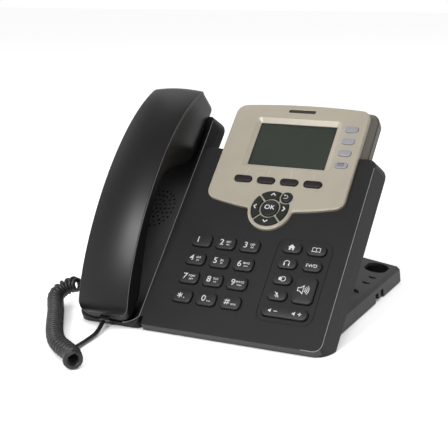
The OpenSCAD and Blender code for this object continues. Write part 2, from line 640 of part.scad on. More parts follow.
// ---- cord ----
// middle line of the curly part, from the base to the open end on the desk
coil_path = [[-112, -61.5, 17.5], [-120, -61, 15.5], [-126, -65, 12.5], [-126, -73.5, 9.6], [-120, -83, 7.4],
    [-112, -94, 6.6], [-104, -106, 6.6], [-96, -118, 6.6], [-87, -131, 6.6], [-77.5, -143, 6.6], [-69, -151, 6.6],
    [-60.5, -156.5, 6.6], [-52.5, -162, 6.6], [-46.5, -169.5, 6.6]];
lead_path = [[-48, -168.5, 10], [-52.5, -162, 8.6], [-58.5, -151, 4.4], [-62, -139, 2.2], [-63, -127, 2], [-64, -115, 2.4],
    [-67, -104, 3.6]];
base_path = [[-106, -61, 18.8], [-113, -61.5, 17.5]];
function catmull(p, i, t) = let (a = p[max(i - 1, 0)], b = p[i], c = p[i + 1], d = p[min(i + 2, len(p) - 1)])
    0.5 * (2 * b + t * (c - a) + t * t * (2 * a - 5 * b + 4 * c - d) + t * t * t * (3 * b - a - 3 * c + d));
function curve(p, per) = concat([for (i = [0:len(p) - 2], k = [0:per - 1]) catmull(p, i, k / per)], [p[len(p) - 1]]);
module tube(path, d, sides) {
    last = len(path) - 1;
    skin([for (i = [0:last]) let (t = path[min(i + 1, last)] - path[max(i - 1, 0)], u = t / norm(t),
            s0 = cross(u, [0, 0, 1]), s = s0 / norm(s0), n = cross(s, u))
        [for (k = [0:sides - 1]) path[i] + d / 2 * (cos(k * 360 / sides) * s + sin(k * 360 / sides) * n)]], flip = true);
}
module curly_cord() { color(rubber_col) tube(curve(coil_path, 3), coil_d, 10); }
module handset_lead() { color(rubber_col) tube(concat(curve(lead_path, 2), [plug_end]), cord_d, 8); }
module base_lead() { color(rubber_col) tube(concat([base_end], base_path), cord_d, 8); }
plug_end = [cradle_x, wy(hs_v0 - 3, plug_n) - 1.5, wz(hs_v0 - 3, plug_n)];
base_end = [-crest_x - 5.6, wy(jack_v, jack_n), wz(jack_v, jack_n)];

// ---- stand ----
stand_y1 = foot_depth / 2;
stand_y0 = wy(14, -body_t);
// place of each rubber foot and the height of the boss that holds it
stand_foot_at = [for (s = [-1, 1]) each [[s * (stand_w / 2 - 35), stand_y1 - 12, stand_h + 4], [s * (stand_w / 2 - 10), -33, stand_h]]];
module stand_profile(inset) {
    w = stand_w / 2 - inset;
    bottom = inset > 0 ? -5 : 0.8;
    top = stand_ridge - inset;
    flare = inset > 0 ? 0 : 1; // the side walls lean out to the desk
    polygon([[-w - flare, bottom], [w + flare, bottom], [w, stand_h - inset * 0.4], [w - 2.4 + inset * 0.4, stand_h + 2.3 - inset],
        [w * 0.5, top], [-w * 0.5, top], [-w + 2.4 - inset * 0.4, stand_h + 2.3 - inset], [-w, stand_h - inset * 0.4]]);
}
module along_y(y0, y1) { translate([0, y1, 0]) rotate([90, 0, 0]) linear_extrude(y1 - y0) children(); }
module across(w) { rotate([90, 0, 90]) linear_extrude(w, center = true) children(); }
tower_v0 = 34;
tower_v1 = 118;
tower_w = 110;
tower_y1 = stand_y1 - 45.5;
module tower2d(in) {
    n = -body_t - seat_gap - in;
    a = tower_v0 + in;
    b = tower_v1 - in * 1.4;
    polygon([[wy(a, n), wz(a, n)], [wy(b, n), wz(b, n)], [wy(b, n) + 5, wz(b, n) - (in > 0 ? 4 : 2)], [tower_y1 - in * 1.2, in > 0 ? -5 : 12],
        [wy(a, n) + (in > 0 ? 4 : 0), in > 0 ? -5 : 12]]);
}
module stand_hook(p) {
    n = -body_t - seat_gap;
    box(p[0] - 5, p[0] + 5, p[1] - 3.6, p[1] - seat_gap, n - 1, floor_n + seat_gap + 1.6);
    box(p[0] - 5, p[0] + 5, p[1] - 3.6, p[1] + 3, floor_n + seat_gap, floor_n + seat_gap + 1.6);
}
module stand() {
    color([0.21, 0.21, 0.22]) {
        difference() {
            union() {
                difference() {
                    along_y(stand_y0, stand_y1) stand_profile(0);
                    along_y(stand_y0 - 9, stand_y1 - stand_wall) stand_profile(stand_wall);
                }
                across(tower_w) tower2d(0);
                for (p = stand_foot_at) translate([p[0], p[1], 0.8]) cylinder(r = 6.2, h = p[2]);
            }
            across(tower_w - 2 * stand_wall) tower2d(stand_wall);
            on_slope() box(-body_w, body_w, -60, 260, -body_t - seat_gap, 60);
            for (s = [-1, 1]) {
                // round cable hole, two slots and an inner hole in the plate
                for (y = [-3, 3]) translate([s * (stand_w / 2 - 14.2), stand_y1 - 16 + y, 4]) cylinder(r = 8.9, h = 30);
                for (y = [54.5, 39.5]) translate([s * (stand_w / 2 - 9.5), stand_y1 - y, 8]) difference() {
                    cylinder(r = 3.2, h = 20);
                    translate([-4, 0.4, -1]) cube([8, 8, 22]);
                }
                translate([s * (stand_w / 2 - 13.5), stand_y1 - 81, 4]) cylinder(r = 7.2, h = 30);
                // clip recesses in the foot of the side wall
                for (y = [58, 46]) translate([s * stand_w / 2, stand_y1 - y, 2.5]) cube([8, 6.4, 9], center = true);
                translate([s * stand_w / 2, stand_y1 - 52, 0]) cube([8, 8, 4], center = true);
            }
            for (p = stand_foot_at) translate([p[0], p[1], 0]) cylinder(r = 4.8, h = 1.8);
        }
        on_slope() for (p = hook_at) stand_hook(p);
    }
}
module stand_feet() {
    color(rubber_col) for (p = stand_foot_at) translate([p[0], p[1], 0]) cylinder(r = 4.8 - fit_gap, h = 1.8);
}

top_case();
bottom_case();
display_bezel();
display_housing();
display_back();
display_lens();
lcd_module();
message_lamp();
keypad_mat();
main_board();
ringer_speaker();
hook_switch();
jack_block();
stand();
front_feet();
stand_feet();
case_screws();
handset_back_shell();
handset_front_shell();
earpiece_capsule();
handset_microphone();
curly_cord();
handset_lead();
base_lead();
handset_plug();
base_plug();
dial_key(0);  // key_1
dial_key(1);  // key_2
dial_key(2);  // key_3
dial_key(3);  // key_4
dial_key(4);  // key_5
dial_key(5);  // key_6
dial_key(6);  // key_7
dial_key(7);  // key_8
dial_key(8);  // key_9
dial_key(9);  // key_star
dial_key(10);  // key_0
dial_key(11);  // key_hash
fn_key(0, 0);  // home_key
fn_key(1, 0);  // phonebook_key
fn_key(0, 1);  // headset_key
fn_key(1, 1);  // forward_key
fn_key(0, 2);  // conference_key
fn_key(0, 3);  // mute_key
speaker_key();
volume_rocker();
soft_key(0);  // soft_key_1
soft_key(1);  // soft_key_2
soft_key(2);  // soft_key_3
soft_key(3);  // soft_key_4
line_key(3);  // line_key_1
line_key(2);  // line_key_2
line_key(1);  // line_key_3
line_key(0);  // message_key
nav_key(90);  // nav_up
nav_key(270);  // nav_down
nav_key(180);  // nav_left
nav_key(0);  // nav_right
round_key(plate_x, nav_v, ok_r);  // ok_key
round_key(back_at[0], back_at[1], back_r);  // back_key
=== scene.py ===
import logging
import math
from dataclasses import dataclass
from enum import Enum
from typing import Callable, Iterable, Optional, Sequence

import bmesh
import bpy
from mathutils import Matrix, Vector


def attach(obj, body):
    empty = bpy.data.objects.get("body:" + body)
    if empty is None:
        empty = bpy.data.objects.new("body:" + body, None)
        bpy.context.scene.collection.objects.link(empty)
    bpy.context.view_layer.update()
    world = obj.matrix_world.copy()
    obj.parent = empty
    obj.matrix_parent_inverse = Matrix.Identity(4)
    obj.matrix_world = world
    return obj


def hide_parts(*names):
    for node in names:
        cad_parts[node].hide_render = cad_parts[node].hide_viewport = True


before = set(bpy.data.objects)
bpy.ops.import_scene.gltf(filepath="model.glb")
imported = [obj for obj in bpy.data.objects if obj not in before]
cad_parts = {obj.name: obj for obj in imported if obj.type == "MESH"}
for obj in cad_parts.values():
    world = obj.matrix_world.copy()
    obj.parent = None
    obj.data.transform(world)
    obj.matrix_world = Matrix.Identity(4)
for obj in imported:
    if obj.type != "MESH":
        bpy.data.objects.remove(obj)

# Finishes, legends, cord, handset and studio of a desk telephone with a side handset.

log = logging.getLogger("telephone")
MM = 0.001
Point2 = tuple[float, float]
Point3 = tuple[float, float, float]
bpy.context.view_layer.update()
MIX_FIRST, MIX_SECOND, MIX_RESULT = 6, 7, 2  # the colour sockets of a mix node


class Body(str, Enum):
    """The bodies that pieces other than key caps ride on."""

    BASE = "base"
    HANDSET = "handset"


@dataclass(frozen=True)
class Slope:
    """The sloping deck's own frame: x across, v up the slope, n out of it, in millimetres."""

    tilt: float = 45.6
    lip_y: float = -93.1829
    lip_z: float = 2.1

    def matrix(self) -> Matrix:
        """The transform from slope millimetres to metres in the row frame."""
        lip = Matrix.Translation((0, self.lip_y, self.lip_z))
        return Matrix.Scale(MM, 4) @ lip @ Matrix.Rotation(math.radians(self.tilt), 4, "X")

    def point(self, x: float, v: float, n: float) -> Vector:
        """A slope point in metres."""
        return self.matrix() @ Vector((x, v, n))


SLOPE = Slope()


# ---- shared helpers ----
def add_node(tree: bpy.types.NodeTree, kind: str, **values: object) -> bpy.types.Node:
    """Adds one node.

    Args:
        tree: the tree that gets the node.
        kind: the node's type name.
        values: properties by name; a name that starts with s_ sets the input socket of that name.

    Returns:
        The new node.
    """
    node = tree.nodes.new(kind)
    for key, value in values.items():
        if key.startswith("s_"):
            node.inputs[key[2:].replace("_", " ")].default_value = value
        else:
            setattr(node, key, value)
    return node


def combine(
    tree: bpy.types.NodeTree,
    operation: str,
    first: bpy.types.NodeSocket,
    second: bpy.types.NodeSocket | float,
    clamp: bool = False,
) -> bpy.types.NodeSocket:
    """Adds a math node on two values.

    Args:
        tree: the tree that gets the node.
        operation: what it does.
        first: its first value.
        second: its second value, from a socket or as a number.
        clamp: whether the result stays between 0 and 1.

    Returns:
        The socket of the result.
    """
    node = add_node(tree, "ShaderNodeMath", operation=operation, use_clamp=clamp)
    tree.links.new(first, node.inputs[0])
    if isinstance(second, (int, float)):
        node.inputs[1].default_value = second
    else:
        tree.links.new(second, node.inputs[1])
    return node.outputs[0]


def new_material(name: str, **values: object) -> bpy.types.Material:
    """Makes a material.

    Args:
        name: its name.
        values: inputs of its Principled BSDF, spaces written as underscores.

    Returns:
        The new material.
    """
    mat = bpy.data.materials.new(name)
    mat.use_nodes = True
    shader = mat.node_tree.nodes["Principled BSDF"]
    for key, value in values.items():
        shader.inputs[key.replace("_", " ")].default_value = value
    return mat


def link_object(name: str, data: bpy.types.ID) -> bpy.types.Object:
    """A new object of the scene that holds some data.

    Args:
        name: the object's name.
        data: its mesh, curve, camera or light.

    Returns:
        The object, linked to the scene.
    """
    obj = bpy.data.objects.new(name, data)
    bpy.context.scene.collection.objects.link(obj)
    return obj


# ---- shader groups ----
class ShaderGroup:
    """A shader node group that is built once and placed in each material."""

    def __init__(self, name: str, inputs: dict[str, Optional[float]], outputs: dict[str, str]) -> None:
        """Makes the group's sockets.

        Args:
            name: the group's name.
            inputs: float inputs and their defaults; None makes a vector input.
            outputs: output names and their kinds, Float, Color or Vector.
        """
        self.tree = bpy.data.node_groups.new(name, "ShaderNodeTree")
        face = self.tree.interface
        for key, value in inputs.items():
            kind = "NodeSocketVector" if value is None else "NodeSocketFloat"
            socket = face.new_socket(key, in_out="INPUT", socket_type=kind)
            if value is not None:
                socket.default_value = value
        for key, kind in outputs.items():
            face.new_socket(key, in_out="OUTPUT", socket_type="NodeSocket" + kind)
        self.start = self.tree.nodes.new("NodeGroupInput")
        self.end = self.tree.nodes.new("NodeGroupOutput")

    def add(self, kind: str, **values: object) -> bpy.types.Node:
        """Adds a node to the group."""
        return add_node(self.tree, kind, **values)

    def link(self, source: bpy.types.NodeSocket, target: bpy.types.NodeSocket) -> None:
        """Joins two sockets."""
        self.tree.links.new(source, target)


def moulded_grain() -> bpy.types.NodeTree:
    """Fine spark-eroded grain with slow unevenness of sheen.

    Returns:
        A group with Height and Sheen outputs between 0 and 1.
    """
    g = ShaderGroup(
        "moulded_grain",
        {"Vector": None, "Grain per metre": 2600.0, "Patch per metre": 18.0},
        {"Height": "Float", "Sheen": "Float"},
    )
    fine = g.add("ShaderNodeTexNoise", s_Detail=3.0, s_Roughness=0.6)
    slow = g.add("ShaderNodeTexNoise", s_Detail=4.0, s_Roughness=0.55)
    for node, scale in ((fine, "Grain per metre"), (slow, "Patch per metre")):
        g.link(g.start.outputs["Vector"], node.inputs["Vector"])
        g.link(g.start.outputs[scale], node.inputs["Scale"])
    g.link(fine.outputs["Fac"], g.end.inputs["Height"])
    g.link(slow.outputs["Fac"], g.end.inputs["Sheen"])
    return g.tree


def worn_and_highlit_edges() -> bpy.types.NodeTree:
    """Softened edges, and a mask of them, which paints edges paler as wear and on some finishes as a painted
    highlight.

    Returns:
        A group with Normal and Edge outputs.
    """
    g = ShaderGroup("worn_and_highlit_edges", {"Radius": 0.0004}, {"Normal": "Vector", "Edge": "Float"})
    soft = g.add("ShaderNodeBevel", samples=6)
    g.link(g.start.outputs["Radius"], soft.inputs["Radius"])
    face = g.add("ShaderNodeNewGeometry")
    dot = g.add("ShaderNodeVectorMath", operation="DOT_PRODUCT")
    g.link(soft.outputs["Normal"], dot.inputs[0])
    g.link(face.outputs["Normal"], dot.inputs[1])
    ramp = g.add("ShaderNodeMapRange", s_From_Min=0.995, s_From_Max=0.8)
    g.link(dot.outputs["Value"], ramp.inputs["Value"])
    g.link(soft.outputs["Normal"], g.end.inputs["Normal"])
    g.link(ramp.outputs["Result"], g.end.inputs["Edge"])
    return g.tree


def settled_dust() -> bpy.types.NodeTree:
    """A thin veil of dust on faces that look up.

    Returns:
        A group with one Dust output between 0 and 1.
    """
    g = ShaderGroup("settled_dust", {"Vector": None, "Amount": 0.1}, {"Dust": "Float"})
    face = g.add("ShaderNodeNewGeometry")
    split = g.add("ShaderNodeSeparateXYZ")
    g.link(face.outputs["Normal"], split.inputs[0])
    up = combine(g.tree, "POWER", split.outputs["Z"], 2.0, clamp=True)
    specks = g.add("ShaderNodeTexNoise", s_Scale=420.0, s_Detail=5.0)
    g.link(g.start.outputs["Vector"], specks.inputs["Vector"])
    veil = combine(g.tree, "MULTIPLY", up, specks.outputs["Fac"])
    g.link(combine(g.tree, "MULTIPLY", veil, g.start.outputs["Amount"], clamp=True), g.end.inputs["Dust"])
    return g.tree


GRAIN = moulded_grain()
EDGES = worn_and_highlit_edges()
DUST = settled_dust()


# ---- finishes ----
@dataclass(frozen=True)
class Finish:
    """A moulded, painted or plain finish and the record's slot that it belongs to.

    Grain is counted per metre and its depth is in millimetres. Uneven is the spread of the roughness. The
    edge layer, which is wear and on some finishes painted highlight, and dust are shares from 0 to 1, gloss
    is the specular level, and dots is the dot matrix's strength.
    """

    name: str
    slot: str
    color: Point3
    roughness: float = 0.45
    grain: float = 2600.0
    depth: float = 0.05
    uneven: float = 0.12
    edge_mm: float = 0.35
    edge_wear_and_highlight: float = 0.25
    dust: float = 0.02
    metallic: float = 0.0
    coat: float = 0.0
    gloss: float = 0.5
    dots: float = 0.0
    cell_mm: float = 0.45
    gap_mm: float = 0.05

    def material(self) -> bpy.types.Material:
        """The finish's Blender material, made on first use."""
        made = bpy.data.materials.get(self.name)
        return made if made is not None else self.build()

    def build(self) -> bpy.types.Material:
        """Builds the material's nodes.

        Returns:
            The new material.
        """
        mat = new_material(
            self.name,
            Metallic=self.metallic,
            Coat_Weight=self.coat,
            Coat_Roughness=0.12,
            Specular_IOR_Level=self.gloss,
        )
        tree = mat.node_tree
        shader = tree.nodes["Principled BSDF"]
        where = add_node(tree, "ShaderNodeTexCoord").outputs["Object"]
        grain = add_node(tree, "ShaderNodeGroup", node_tree=GRAIN, s_Grain_per_metre=self.grain)
        edges = add_node(tree, "ShaderNodeGroup", node_tree=EDGES, s_Radius=self.edge_mm * MM)
        dust = add_node(tree, "ShaderNodeGroup", node_tree=DUST, s_Amount=self.dust)
        for group in (grain, dust):
            tree.links.new(where, group.inputs["Vector"])
        color = self.tint(tree, grain.outputs["Sheen"], edges.outputs["Edge"], dust.outputs["Dust"])
        if self.dots:
            color = self.dot_matrix(tree, where, color)
        tree.links.new(color, shader.inputs["Base Color"])
        low, high = self.roughness - self.uneven / 2, self.roughness + self.uneven / 2
        sheen = add_node(tree, "ShaderNodeMapRange", s_To_Min=low, s_To_Max=high)
        tree.links.new(grain.outputs["Sheen"], sheen.inputs["Value"])
        tree.links.new(sheen.outputs["Result"], shader.inputs["Roughness"])
        strength = min(1.0, self.depth * 4)
        bump = add_node(tree, "ShaderNodeBump", s_Strength=strength, s_Distance=self.depth * MM)
        tree.links.new(grain.outputs["Height"], bump.inputs["Height"])
        tree.links.new(edges.outputs["Normal"], bump.inputs["Normal"])
        tree.links.new(bump.outputs["Normal"], shader.inputs["Normal"])
        return mat

    def tint(
        self,
        tree: bpy.types.NodeTree,
        patch: bpy.types.NodeSocket,
        edge: bpy.types.NodeSocket,
        dust: bpy.types.NodeSocket,
    ) -> bpy.types.NodeSocket:
        """Mixes the base colour with its patches, its paler edges (wear, and on some finishes painted
        highlight) and dust.

        Args:
            tree: the material's tree.
            patch: slow unevenness, 0 to 1.
            edge: mask of the edges that are painted paler for wear and highlight.
            dust: mask of dust.

        Returns:
            The colour socket.
        """
        layers = (
            (patch, self.shade(0.88), self.shade(1.22, 0.004), 1.0),
            # paler edges: wear, and on the plate a painted highlight round its rim
            (edge, None, self.shade(1.5, 0.02), self.edge_wear_and_highlight),
            (dust, None, (0.5, 0.48, 0.45, 1.0), 1.0),
        )
        color: Optional[bpy.types.NodeSocket] = None
        for mask, low, high, amount in layers:
            mix = add_node(tree, "ShaderNodeMix", data_type="RGBA")
            tree.links.new(combine(tree, "MULTIPLY", mask, amount, clamp=True), mix.inputs["Factor"])
            if color is None:
                mix.inputs[MIX_FIRST].default_value = low
            else:
                tree.links.new(color, mix.inputs[MIX_FIRST])
            mix.inputs[MIX_SECOND].default_value = high
            color = mix.outputs[MIX_RESULT]
        return color

    def shade(self, factor: float, lift: float = 0.0) -> tuple[float, ...]:
        """The base colour made paler or darker, with its alpha."""
        return (*(min(1.0, c * factor + lift) for c in self.color), 1.0)

    def dot_matrix(
        self, tree: bpy.types.NodeTree, where: bpy.types.NodeSocket, color: bpy.types.NodeSocket
    ) -> bpy.types.NodeSocket:
        """Draws the faint cells of an unlit dot matrix along the slope.

        Args:
            tree: the material's tree.
            where: object coordinates.
            color: the colour under the cells.

        Returns:
            The colour with cells.
        """
        turn = add_node(tree, "ShaderNodeMapping", s_Rotation=(-math.radians(SLOPE.tilt), 0, 0))
        tree.links.new(where, turn.inputs["Vector"])
        cell, gap = self.cell_mm * MM, self.gap_mm * MM
        cells = add_node(
            tree, "ShaderNodeTexBrick", offset=0.0, squash=1.0,
            s_Scale=1.0, s_Mortar_Size=gap, s_Brick_Width=cell, s_Row_Height=cell,
        )
        tree.links.new(turn.outputs["Vector"], cells.inputs["Vector"])
        mix = add_node(tree, "ShaderNodeMix", data_type="RGBA", blend_type="MULTIPLY", s_Factor=self.dots)
        tree.links.new(color, mix.inputs[MIX_FIRST])
        tree.links.new(cells.outputs["Fac"], mix.inputs[MIX_SECOND])
        return mix.outputs[MIX_RESULT]


@dataclass(frozen=True)
class ClearFinish:
    """A clear pane or plug."""

    name: str
    slot: str
    tint: Point3
    roughness: float = 0.03
    uneven: float = 0.03

    def material(self) -> bpy.types.Material:
        """The clear material, made on first use.

        Returns:
            A glass-like material with a slightly uneven sheen.
        """
        made = bpy.data.materials.get(self.name)
        if made is not None:
            return made
        mat = new_material(self.name, Base_Color=(*self.tint, 1), Transmission_Weight=1.0, IOR=1.46)
        tree = mat.node_tree
        where = add_node(tree, "ShaderNodeTexCoord").outputs["Object"]
        grain = add_node(tree, "ShaderNodeGroup", node_tree=GRAIN)
        tree.links.new(where, grain.inputs["Vector"])
        low, high = self.roughness, self.roughness + self.uneven
        sheen = add_node(tree, "ShaderNodeMapRange", s_To_Min=low, s_To_Max=high)
        tree.links.new(grain.outputs["Sheen"], sheen.inputs["Value"])
        tree.links.new(sheen.outputs["Result"], tree.nodes["Principled BSDF"].inputs["Roughness"])
        return mat


def highlight_bead_finish(name: str, slot: str, color: Point3) -> Finish:
    """Pale smooth plastic for thin beads along an edge, which stand in for its light: a painted highlight."""
    return Finish(name, slot, color, 0.25, depth=0.0, edge_mm=0.1, edge_wear_and_highlight=0.0, dust=0.0)


def ink(name: str, slot: str, color: Point3) -> Finish:
    """Flat printed ink."""
    return Finish(name, slot, color, 0.5, depth=0.0, uneven=0.02, edge_wear_and_highlight=0.0, dust=0.0)


CASE = Finish("case_satin", "case_plastic", (0.0150, 0.0140, 0.0152), 0.50, depth=0.06, edge_wear_and_highlight=0.5, gloss=0.28)
# a paler copy of the case plastic: painted light on the front band
LIT_LIP = Finish("lip_painted_light", "case_plastic", (0.068, 0.066, 0.069), 0.42, depth=0.04, edge_wear_and_highlight=0.3, gloss=0.4)
# pale beads along the crests and the handset's edge: painted highlight lines
CREST_HIGHLIGHT = highlight_bead_finish("crest_painted_highlight", "case_plastic", (0.32, 0.32, 0.33))
HANDSET_EDGE_HIGHLIGHT = highlight_bead_finish("handset_edge_painted_highlight", "handset_plastic", (0.13, 0.13, 0.133))
HANDSET = Finish(
    "handset_satin", "handset_plastic", (0.0080, 0.0080, 0.0083), 0.33, depth=0.05, edge_wear_and_highlight=0.15, gloss=0.32
)
KEY = Finish("key_satin", "key_plastic", (0.0170, 0.0165, 0.0170), 0.42, depth=0.03, edge_mm=0.25, gloss=0.38)
SOFT_KEY = Finish(
    "soft_key_satin", "soft_key_plastic", (0.017, 0.012, 0.014), 0.40, depth=0.03, edge_mm=0.2, gloss=0.28
)
NAV_KEY = Finish(
    "nav_key_satin", "nav_key_plastic", (0.014, 0.0165, 0.014), 0.42, depth=0.03, edge_mm=0.3, gloss=0.34
)
LINE_KEY = Finish("line_key_satin", "line_key_plastic", (0.40, 0.385, 0.425), 0.38, depth=0.02, edge_mm=0.2)
# the plate's strong paler edge layer is a painted highlight round its rim
PLATE = Finish(
    "plate_paint", "plate_finish", (0.545, 0.495, 0.40), 0.38, grain=5200, depth=0.02, uneven=0.06,
    edge_mm=0.8, edge_wear_and_highlight=0.8, coat=0.15, metallic=0.1,
)
FRAME = Finish("frame_taupe", "frame_plastic", (0.17, 0.15, 0.122), 0.42)
BACK = Finish("back_matt", "back_plastic", (0.014, 0.0135, 0.012), 0.55, gloss=0.35)
LCD = Finish(
    "lcd_unlit", "lcd", (0.016, 0.029, 0.013), 0.5, depth=0.0, uneven=0.04, edge_wear_and_highlight=0.0, dust=0.0, dots=0.12
)
MASK = Finish("screen_mask", "lcd", (0.006, 0.007, 0.006), 0.4, depth=0.0, uneven=0.02, edge_wear_and_highlight=0.0, dust=0.0)
LAMP = Finish("lamp_smoked", "lamp", (0.045, 0.038, 0.030), 0.16, depth=0.0, coat=0.5, edge_mm=0.15)
MAT = Finish("mat_rubber", "mat_rubber", (0.28, 0.28, 0.29), 0.75)
BOARD = Finish("board_mask", "board", (0.02, 0.16, 0.06), 0.4)
METAL = Finish("speaker_can", "speaker_metal", (0.30, 0.30, 0.31), 0.35, metallic=0.9)
SOCKET = Finish("socket_matt", "socket_plastic", (0.012, 0.012, 0.013), 0.5)
STAND = Finish("stand_grain", "stand_plastic", (0.0185, 0.0190, 0.0175), 0.52, depth=0.08, gloss=0.4)
RUBBER = Finish("foot_rubber", "rubber_feet", (0.014, 0.014, 0.014), 0.8, edge_wear_and_highlight=0.0)
SCREW = Finish("screw_steel", "screw_steel", (0.42, 0.42, 0.43), 0.3, metallic=1.0, edge_mm=0.1)
CORD = Finish(
    "cord_jacket", "cord_jacket", (0.0075, 0.0075, 0.0072), 0.32, grain=4200, depth=0.02,
    edge_mm=0.1, edge_wear_and_highlight=0.0, gloss=0.34,
)
PRINT = ink("legend_print", "key_plastic", (0.86, 0.86, 0.86))
INK = ink("sign_ink", "line_key_plastic", (0.06, 0.055, 0.06))
GUIDE = ink("guide_ink", "plate_finish", (0.72, 0.69, 0.62))
LENS = ClearFinish("lens_clear", "lens", (0.90, 0.93, 0.90))
PLUG = ClearFinish("plug_clear", "plug_plastic", (0.78, 0.80, 0.78), 0.18)

AnyFinish = Finish | ClearFinish
NODE_FINISH: dict[str, AnyFinish] = {
    "top_case": CASE,
    "bottom_case": CASE,
    "display_bezel": PLATE,
    "display_housing": FRAME,
    "display_back": BACK,
    "display_lens": LENS,
    "lcd_module": LCD,
    "message_lamp": LAMP,
    "keypad_mat": MAT,
    "main_board": BOARD,
    "ringer_speaker": METAL,
    "hook_switch": KEY,
    "jack_block": SOCKET,
    "stand": STAND,
    "front_feet": RUBBER,
    "stand_feet": RUBBER,
    "case_screws": SCREW,
    "handset_back_shell": HANDSET,
    "handset_front_shell": HANDSET,
    "earpiece_capsule": METAL,
    "handset_microphone": METAL,
    "handset_plug": PLUG,
    "base_plug": PLUG,
    "curly_cord": CORD,
    "handset_lead": CORD,
    "base_lead": CORD,
}


def finish_of(node: str) -> AnyFinish:
    """The finish that a CAD node gets.

    Args:
        node: the node's name.

    Returns:
        Its finish; keys that are not listed by name take their group's.
    """
    if node in NODE_FINISH:
        return NODE_FINISH[node]
    if node.startswith("soft_key"):
        return SOFT_KEY
    if node.startswith("line_key") or node == "message_key":
        return LINE_KEY
    if node.startswith("nav_") or node in ("ok_key", "back_key"):
        return NAV_KEY
    return KEY


def dress_nodes() -> None:
    """Gives every CAD node its finish."""
    for name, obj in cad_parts.items():
        material = finish_of(name).material()
        if not obj.material_slots:
            obj.data.materials.append(material)
        for slot in obj.material_slots:
            slot.link = "OBJECT"
            slot.material = material
    log.info("dressed %d nodes", len(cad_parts))


# ---- geometry node trees ----
class GeometryTree:
    """A geometry node tree with named inputs, ending in Realize Instances and Set Material."""

    def __init__(self, name: str, inputs: dict[str, str]) -> None:
        """Makes the tree's sockets and its last nodes.

        Args:
            name: the tree's name.
            inputs: input names and kinds, Float or Int.
        """
        self.tree = bpy.data.node_groups.new(name, "GeometryNodeTree")
        face = self.tree.interface
        face.new_socket("Geometry", in_out="INPUT", socket_type="NodeSocketGeometry")
        for key, kind in inputs.items():
            face.new_socket(key, in_out="INPUT", socket_type="NodeSocket" + kind)
        face.new_socket("Material", in_out="INPUT", socket_type="NodeSocketMaterial")
        face.new_socket("Geometry", in_out="OUTPUT", socket_type="NodeSocketGeometry")
        self.start = self.tree.nodes.new("NodeGroupInput")
        end = self.tree.nodes.new("NodeGroupOutput")
        self.real = self.add("GeometryNodeRealizeInstances")
        paint = self.add("GeometryNodeSetMaterial")
        self.link(self.real.outputs[0], paint.inputs["Geometry"])
        self.link(self.start.outputs["Material"], paint.inputs["Material"])
        self.link(paint.outputs[0], end.inputs[0])

    def add(self, kind: str, **values: object) -> bpy.types.Node:
        """Adds a node to the tree."""
        return add_node(self.tree, kind, **values)

    def link(self, source: bpy.types.NodeSocket, target: bpy.types.NodeSocket) -> None:
        """Joins two sockets."""
        self.tree.links.new(source, target)

    def run(
        self, base: bpy.types.Object, name: str, material: bpy.types.Material, **sizes: object
    ) -> bpy.types.Object:
        """Runs the tree on an object and keeps the result as a plain mesh.

        Args:
            base: the object whose mesh feeds the tree; it is removed.
            name: the new piece's name.
            material: the material that the tree sets.
            sizes: the tree's inputs, spaces written as underscores.

        Returns:
            The new object.
        """
        modifier = base.modifiers.new("tree", "NODES")
        modifier.node_group = self.tree
        values = {key.replace("_", " "): value for key, value in sizes.items()}
        values["Material"] = material
        for socket in self.tree.interface.items_tree:
            if socket.item_type == "SOCKET" and socket.in_out == "INPUT" and socket.name in values:
                modifier[socket.identifier] = values[socket.name]
        depsgraph = bpy.context.evaluated_depsgraph_get()
        mesh = bpy.data.meshes.new_from_object(base.evaluated_get(depsgraph))
        base.modifiers.remove(modifier)
        bpy.data.objects.remove(base)
        mesh.name = name
        return link_object(name, mesh)


def sweep_tree() -> GeometryTree:
    """A round strand swept along a line of vertices.

    Returns:
        The tree, with Radius and Sides inputs.
    """
    t = GeometryTree("round_strand", {"Radius": "Float", "Sides": "Int"})
    line = t.add("GeometryNodeMeshToCurve")
    t.link(t.start.outputs["Geometry"], line.inputs["Mesh"])
    ring = t.add("GeometryNodeCurvePrimitiveCircle")
    t.link(t.start.outputs["Radius"], ring.inputs["Radius"])
    t.link(t.start.outputs["Sides"], ring.inputs["Resolution"])
    tube = t.add("GeometryNodeCurveToMesh")
    tube.inputs["Fill Caps"].default_value = True
    t.link(line.outputs["Curve"], tube.inputs["Curve"])
    t.link(ring.outputs["Curve"], tube.inputs["Profile Curve"])
    soft = t.add("GeometryNodeSetShadeSmooth")
    t.link(tube.outputs["Mesh"], soft.inputs["Geometry"])
    t.link(soft.outputs["Geometry"], t.real.inputs["Geometry"])
    return t


def stud_tree() -> GeometryTree:
    """A short round stud at every vertex, standing along a shared direction.

    Returns:
        The tree, with Radius, Height, Sides and Lean inputs.
    """
    t = GeometryTree("round_studs", {"Radius": "Float", "Height": "Float", "Sides": "Int", "Lean": "Float"})
    stud = t.add("GeometryNodeMeshCylinder")
    t.link(t.start.outputs["Radius"], stud.inputs["Radius"])
    t.link(t.start.outputs["Height"], stud.inputs["Depth"])
    t.link(t.start.outputs["Sides"], stud.inputs["Vertices"])
    turn = t.add("ShaderNodeCombineXYZ")
    t.link(t.start.outputs["Lean"], turn.inputs["X"])
    place = t.add("GeometryNodeInstanceOnPoints")
    t.link(t.start.outputs["Geometry"], place.inputs["Points"])
    t.link(stud.outputs["Mesh"], place.inputs["Instance"])
    t.link(turn.outputs["Vector"], place.inputs["Rotation"])
    t.link(place.outputs["Instances"], t.real.inputs["Geometry"])
    return t


STRAND = sweep_tree()
STUDS = stud_tree()


